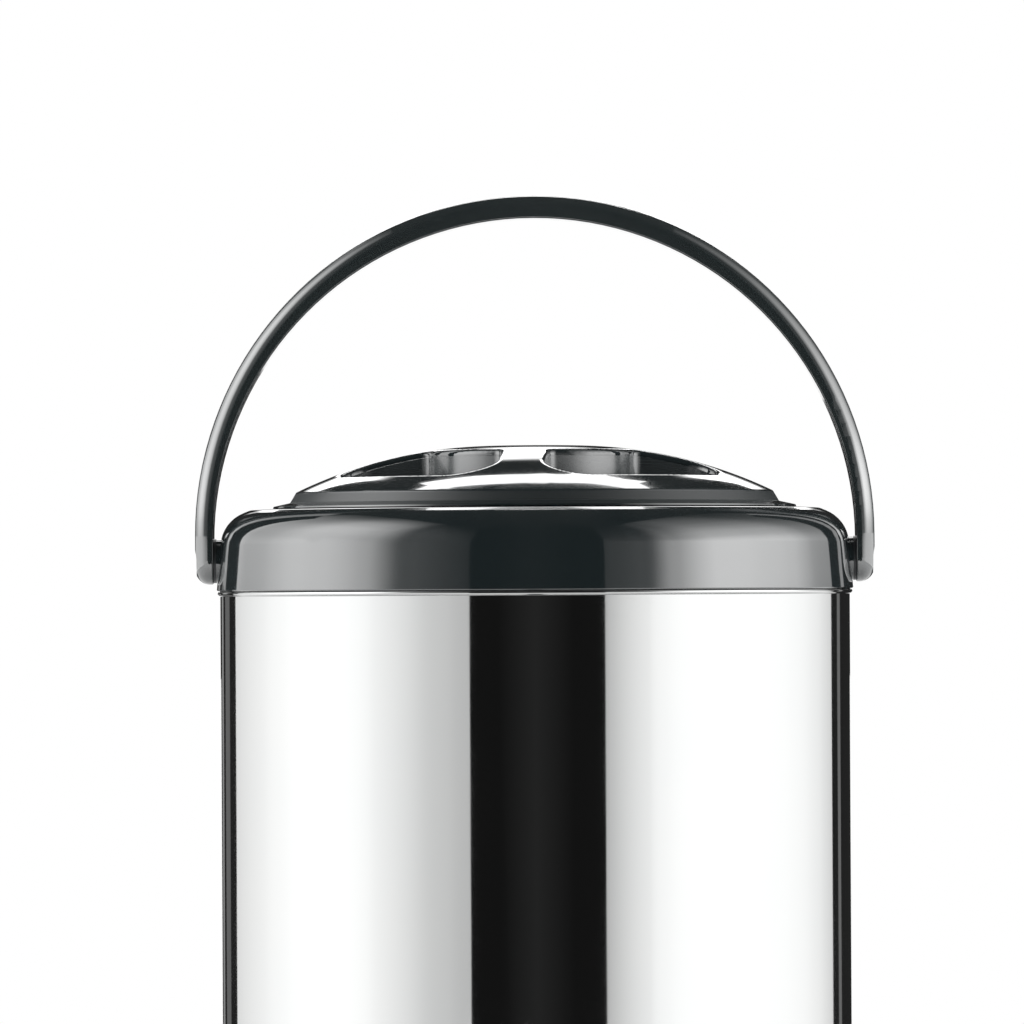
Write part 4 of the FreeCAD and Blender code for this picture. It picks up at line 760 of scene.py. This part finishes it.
# %% Give every solid its finish
SLATE = (0.012, 0.018, 0.0195)
BAIL_SLATE = (0.021, 0.028, 0.029)
CUP_SLATE = (0.030, 0.038, 0.040)
BROW_INSIDE = 100.6 * MM
BROW_OUTSIDE = 103.4 * MM
BROW_SOFT_EDGE = 0.3 * MM
finishes = {
    "mirror": polished_steel(),
    "tank": satin_steel("tank_steel", (0.62, 0.63, 0.63), 700.0),
    "fastener": satin_steel("fastener_steel", (0.50, 0.51, 0.52), 2600.0),
    "slate": gloss_moulding("slate_gloss", SLATE, 14.0),
    "lid": lid_moulding(SLATE, BROW_INSIDE, BROW_OUTSIDE, BROW_SOFT_EDGE),
    "bail": gloss_moulding("bail_gloss", BAIL_SLATE, 14.0, 1.8),
    "cup": gloss_moulding("cup_gloss", CUP_SLATE, 20.0, 1.6, 0.20),
    "lever": gloss_moulding("lever_gloss", SLATE, 30.0),
    "tap": satin_moulding("tap_satin", (0.030, 0.033, 0.035), 0.26, 0.36),
    "natural": satin_moulding("natural_polypropylene", (0.74, 0.75, 0.72), 0.34, 0.46, 0.25),
    "silicone": satin_moulding("white_silicone", (0.70, 0.71, 0.69), 0.42, 0.55, 0.4),
    "rubber": satin_moulding("foot_rubber", (0.028, 0.028, 0.030), 0.70, 0.85),
    "foam": rigid_foam(),
}
finish_of = {
    "mirror": ["outer_shell"],
    "tank": ["inner_liner", "bottom_plate"],
    "fastener": [
        "base_screws", "pivot_screw_left", "pivot_screw_right", "valve_stem", "valve_spring", "lever_pin",
    ],
    "slate": ["shoulder_ring", "base_ring"],
    "cup": ["finger_cups"],
    "bail": ["bail"],
    "lid": ["lid_dome"],
    "lever": ["tap_lever"],
    "tap": ["tap_body", "tap_bonnet", "pivot_washer_left", "pivot_washer_right"],
    "natural": ["lid_inner", "tap_wall_sleeve", "tap_nut"],
    "silicone": [
        "liner_seal", "lid_gasket", "vent_plug", "tap_outer_washer", "tap_inner_washer", "stem_o_ring",
        "seat_cup",
    ],
    "rubber": ["foot_ring"],
    "foam": ["foam_jacket", "lid_foam"],
}
for finish, names in finish_of.items():
    for name in names:
        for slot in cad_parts[name].material_slots:
            slot.material = finishes[finish]
dressed = sum(len(names) for names in finish_of.values())
print("solids dressed:", dressed, "of", len(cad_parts))

# %% [markdown]
# The steel shell of the real barrel is a rolled sheet. Its two rims are curled into a fine bead, which lies
# bright against the plastic rings, and its joint is a low weld down the rear. A bead could be a torus, but
# the real one is flat where it grips the sheet. So a small circle is flattened on one side and spun round
# the barrel's axis. The weld is one slim rod, pressed almost flat, its edges bevelled down to the sheet.

# %% Curl the shell's rims
BEAD_RADIUS = 1.1 * MM
BEAD_SUNK = 0.2 * MM
BEAD_SIDES = 20
SPIN_STEPS = 192
MERGE_GAP = 0.001 * MM
SMOOTH_ANGLE = math.radians(40)
shell_radius = shell_high.x
base_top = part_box("base_ring")[1].z


def finish_piece(piece, body, material):
    """Mesh left in place, normals outwards, smooth, riding on its body in its own finish."""
    bpy.ops.object.mode_set(mode="OBJECT")
    bpy.ops.object.transform_apply(location=True, rotation=True, scale=True)
    bpy.ops.object.mode_set(mode="EDIT")
    bpy.ops.mesh.select_all(action="SELECT")
    bpy.ops.mesh.remove_doubles(threshold=MERGE_GAP)
    bpy.ops.mesh.normals_make_consistent(inside=False)
    bpy.ops.object.mode_set(mode="OBJECT")
    bpy.ops.object.shade_smooth_by_angle(angle=SMOOTH_ANGLE)
    piece.data.materials.clear()
    piece.data.materials.append(material)
    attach(piece, body)


def curled_bead(name, level):
    clear_selection()
    bpy.ops.mesh.primitive_circle_add(
        vertices=BEAD_SIDES,
        radius=BEAD_RADIUS,
        location=(shell_radius, 0, level),
        rotation=(math.radians(90), 0, 0),
    )
    bead = bpy.context.object
    bead.name = name
    bpy.ops.object.transform_apply(location=True, rotation=True)
    for vertex in bead.data.vertices:
        vertex.co.x = max(vertex.co.x, shell_radius - BEAD_SUNK)
    bpy.ops.object.mode_set(mode="EDIT")
    bpy.ops.mesh.select_all(action="SELECT")
    bpy.ops.mesh.spin(steps=SPIN_STEPS, angle=math.tau, center=(0, 0, level), axis=(0, 0, 1))
    finish_piece(bead, "barrel", finishes["mirror"])
    return bead


for name, level in (
    ("shell_rim_bead", seam_height - BEAD_RADIUS),
    ("shell_foot_bead", base_top + BEAD_RADIUS),
):
    bead = curled_bead(name, level)
    print(name, "faces:", len(bead.data.polygons))

# %% Run the weld down the rear
WELD_HALF = 0.9 * MM
WELD_PROUD = 0.22 * MM
WELD_SIDES = 16
weld_foot = base_top + 2 * BEAD_RADIUS
weld_top = seam_height - 2 * BEAD_RADIUS
clear_selection()
bpy.ops.mesh.primitive_cylinder_add(
    vertices=WELD_SIDES,
    radius=WELD_HALF,
    depth=weld_top - weld_foot,
    location=(0, shell_radius, (weld_foot + weld_top) / 2),
)
weld = bpy.context.object
weld.name = "shell_weld"
weld.scale.y = WELD_PROUD / WELD_HALF
bpy.ops.object.transform_apply(location=True, rotation=True, scale=True)
bpy.ops.object.mode_set(mode="EDIT")
bpy.ops.mesh.select_all(action="SELECT")
bpy.ops.mesh.bevel(offset=0.5 * WELD_PROUD, segments=2, affect="EDGES", clamp_overlap=True)
finish_piece(weld, "barrel", finishes["fastener"])
print("weld height:", round(weld_top - weld_foot, 4))

# %% [markdown]
# A wet finger slips on a glossy lever, so the paddle carries low ribs near its tip. They could be cut into
# the lever's solid, yet they are only a texture to the finger and too fine for it. One rib is a short rod
# with rounded ends. Ribs are set out along the paddle, and a ray from above finds how high each must lie.

# %% Set ribs on the lever's paddle
RIB_COUNT = 6
RIB_PITCH = 3.2 * MM
RIB_RADIUS = 0.55 * MM
RIB_LENGTH = 13.0 * MM
RIB_FROM_TIP = 5.0 * MM
RIB_SUNK = 0.15 * MM
RIB_SIDES = 14
RIB_END_ROUND = 0.7 * RIB_RADIUS
RAY_CLIMB = 0.05
lever_low, lever_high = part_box("tap_lever")
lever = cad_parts["tap_lever"]


def paddle_level(along):
    """Height of the lever's top side at a place along Y, found by a ray that comes from above."""
    hit, spot, _, _ = lever.ray_cast((0, along, lever_high.z + RAY_CLIMB), (0, 0, -1))
    if not hit:
        raise RuntimeError("the ray missed the paddle")
    return spot.z


def grip_rib(along):
    clear_selection()
    bpy.ops.mesh.primitive_cylinder_add(
        vertices=RIB_SIDES,
        radius=RIB_RADIUS,
        depth=RIB_LENGTH,
        location=(0, along, paddle_level(along) - RIB_SUNK),
        rotation=(0, math.radians(90), 0),
    )
    rib = bpy.context.object
    bpy.ops.object.transform_apply(location=True, rotation=True)
    bpy.ops.object.mode_set(mode="EDIT")
    bpy.ops.mesh.select_all(action="DESELECT")
    bpy.ops.object.mode_set(mode="OBJECT")
    for face in rib.data.polygons:
        face.select = abs(face.normal.x) > 0.9
    bpy.ops.object.mode_set(mode="EDIT")
    bpy.ops.mesh.select_mode(type="FACE")
    bpy.ops.mesh.bevel(offset=RIB_END_ROUND, segments=3, affect="EDGES")
    bpy.ops.object.mode_set(mode="OBJECT")
    return rib


ribs = [grip_rib(lever_low.y + RIB_FROM_TIP + number * RIB_PITCH) for number in range(RIB_COUNT)]
clear_selection()
for rib in ribs:
    rib.select_set(True)
bpy.context.view_layer.objects.active = ribs[0]
bpy.ops.object.join()
grip = bpy.context.object
grip.name = "lever_grip_ribs"
finish_piece(grip, "lever", finishes["lever"])
print("ribs:", RIB_COUNT, "faces:", len(grip.data.polygons))

# %% [markdown]
# Pressing the lever lifts the stem, and the stem squeezes the valve spring against the bonnet's roof. The
# loaded solid could only ride up with the stem and would pass through the roof, so the spring is wound again
# here as a piece of its own. Its turns could come from a formula, but a small ring carried round the axis
# by a Screw modifier is how wire is coiled. It stands on the stem's collar.

# %% Wind the valve spring
SPRING_TURNS = 7
SPRING_WIRE = 0.6 * MM
SPRING_STEPS = 40
WIRE_SIDES = 16
spring_low, spring_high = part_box("valve_spring")
valve_y = (spring_low.y + spring_high.y) / 2
spring_height = spring_high.z - spring_low.z

clear_selection()
bpy.ops.mesh.primitive_circle_add(
    vertices=WIRE_SIDES,
    radius=SPRING_WIRE,
    location=(spring_high.x - SPRING_WIRE, 0, spring_low.z + SPRING_WIRE),
    rotation=(math.radians(90), 0, 0),
)
spring = bpy.context.object
spring.name = "wound_valve_spring"
bpy.ops.object.transform_apply(location=True, rotation=True)
bpy.ops.object.modifier_add(type="SCREW")
winding = spring.modifiers[0]
winding.iterations = SPRING_TURNS
winding.screw_offset = (spring_height - 2 * SPRING_WIRE) / SPRING_TURNS
winding.steps = SPRING_STEPS
winding.render_steps = SPRING_STEPS
bpy.ops.object.modifier_apply(modifier=winding.name)
bpy.ops.object.mode_set(mode="EDIT")
bpy.ops.mesh.select_all(action="SELECT")
bpy.ops.mesh.remove_doubles(threshold=MERGE_GAP)
bpy.ops.mesh.fill_holes(sides=WIRE_SIDES)
bpy.ops.object.mode_set(mode="OBJECT")
spring.location.y = valve_y
finish_piece(spring, "valve", finishes["fastener"])
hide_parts("valve_spring")
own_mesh(spring)
print("spring height:", round(spring_height, 5), "faces:", len(spring.data.polygons))
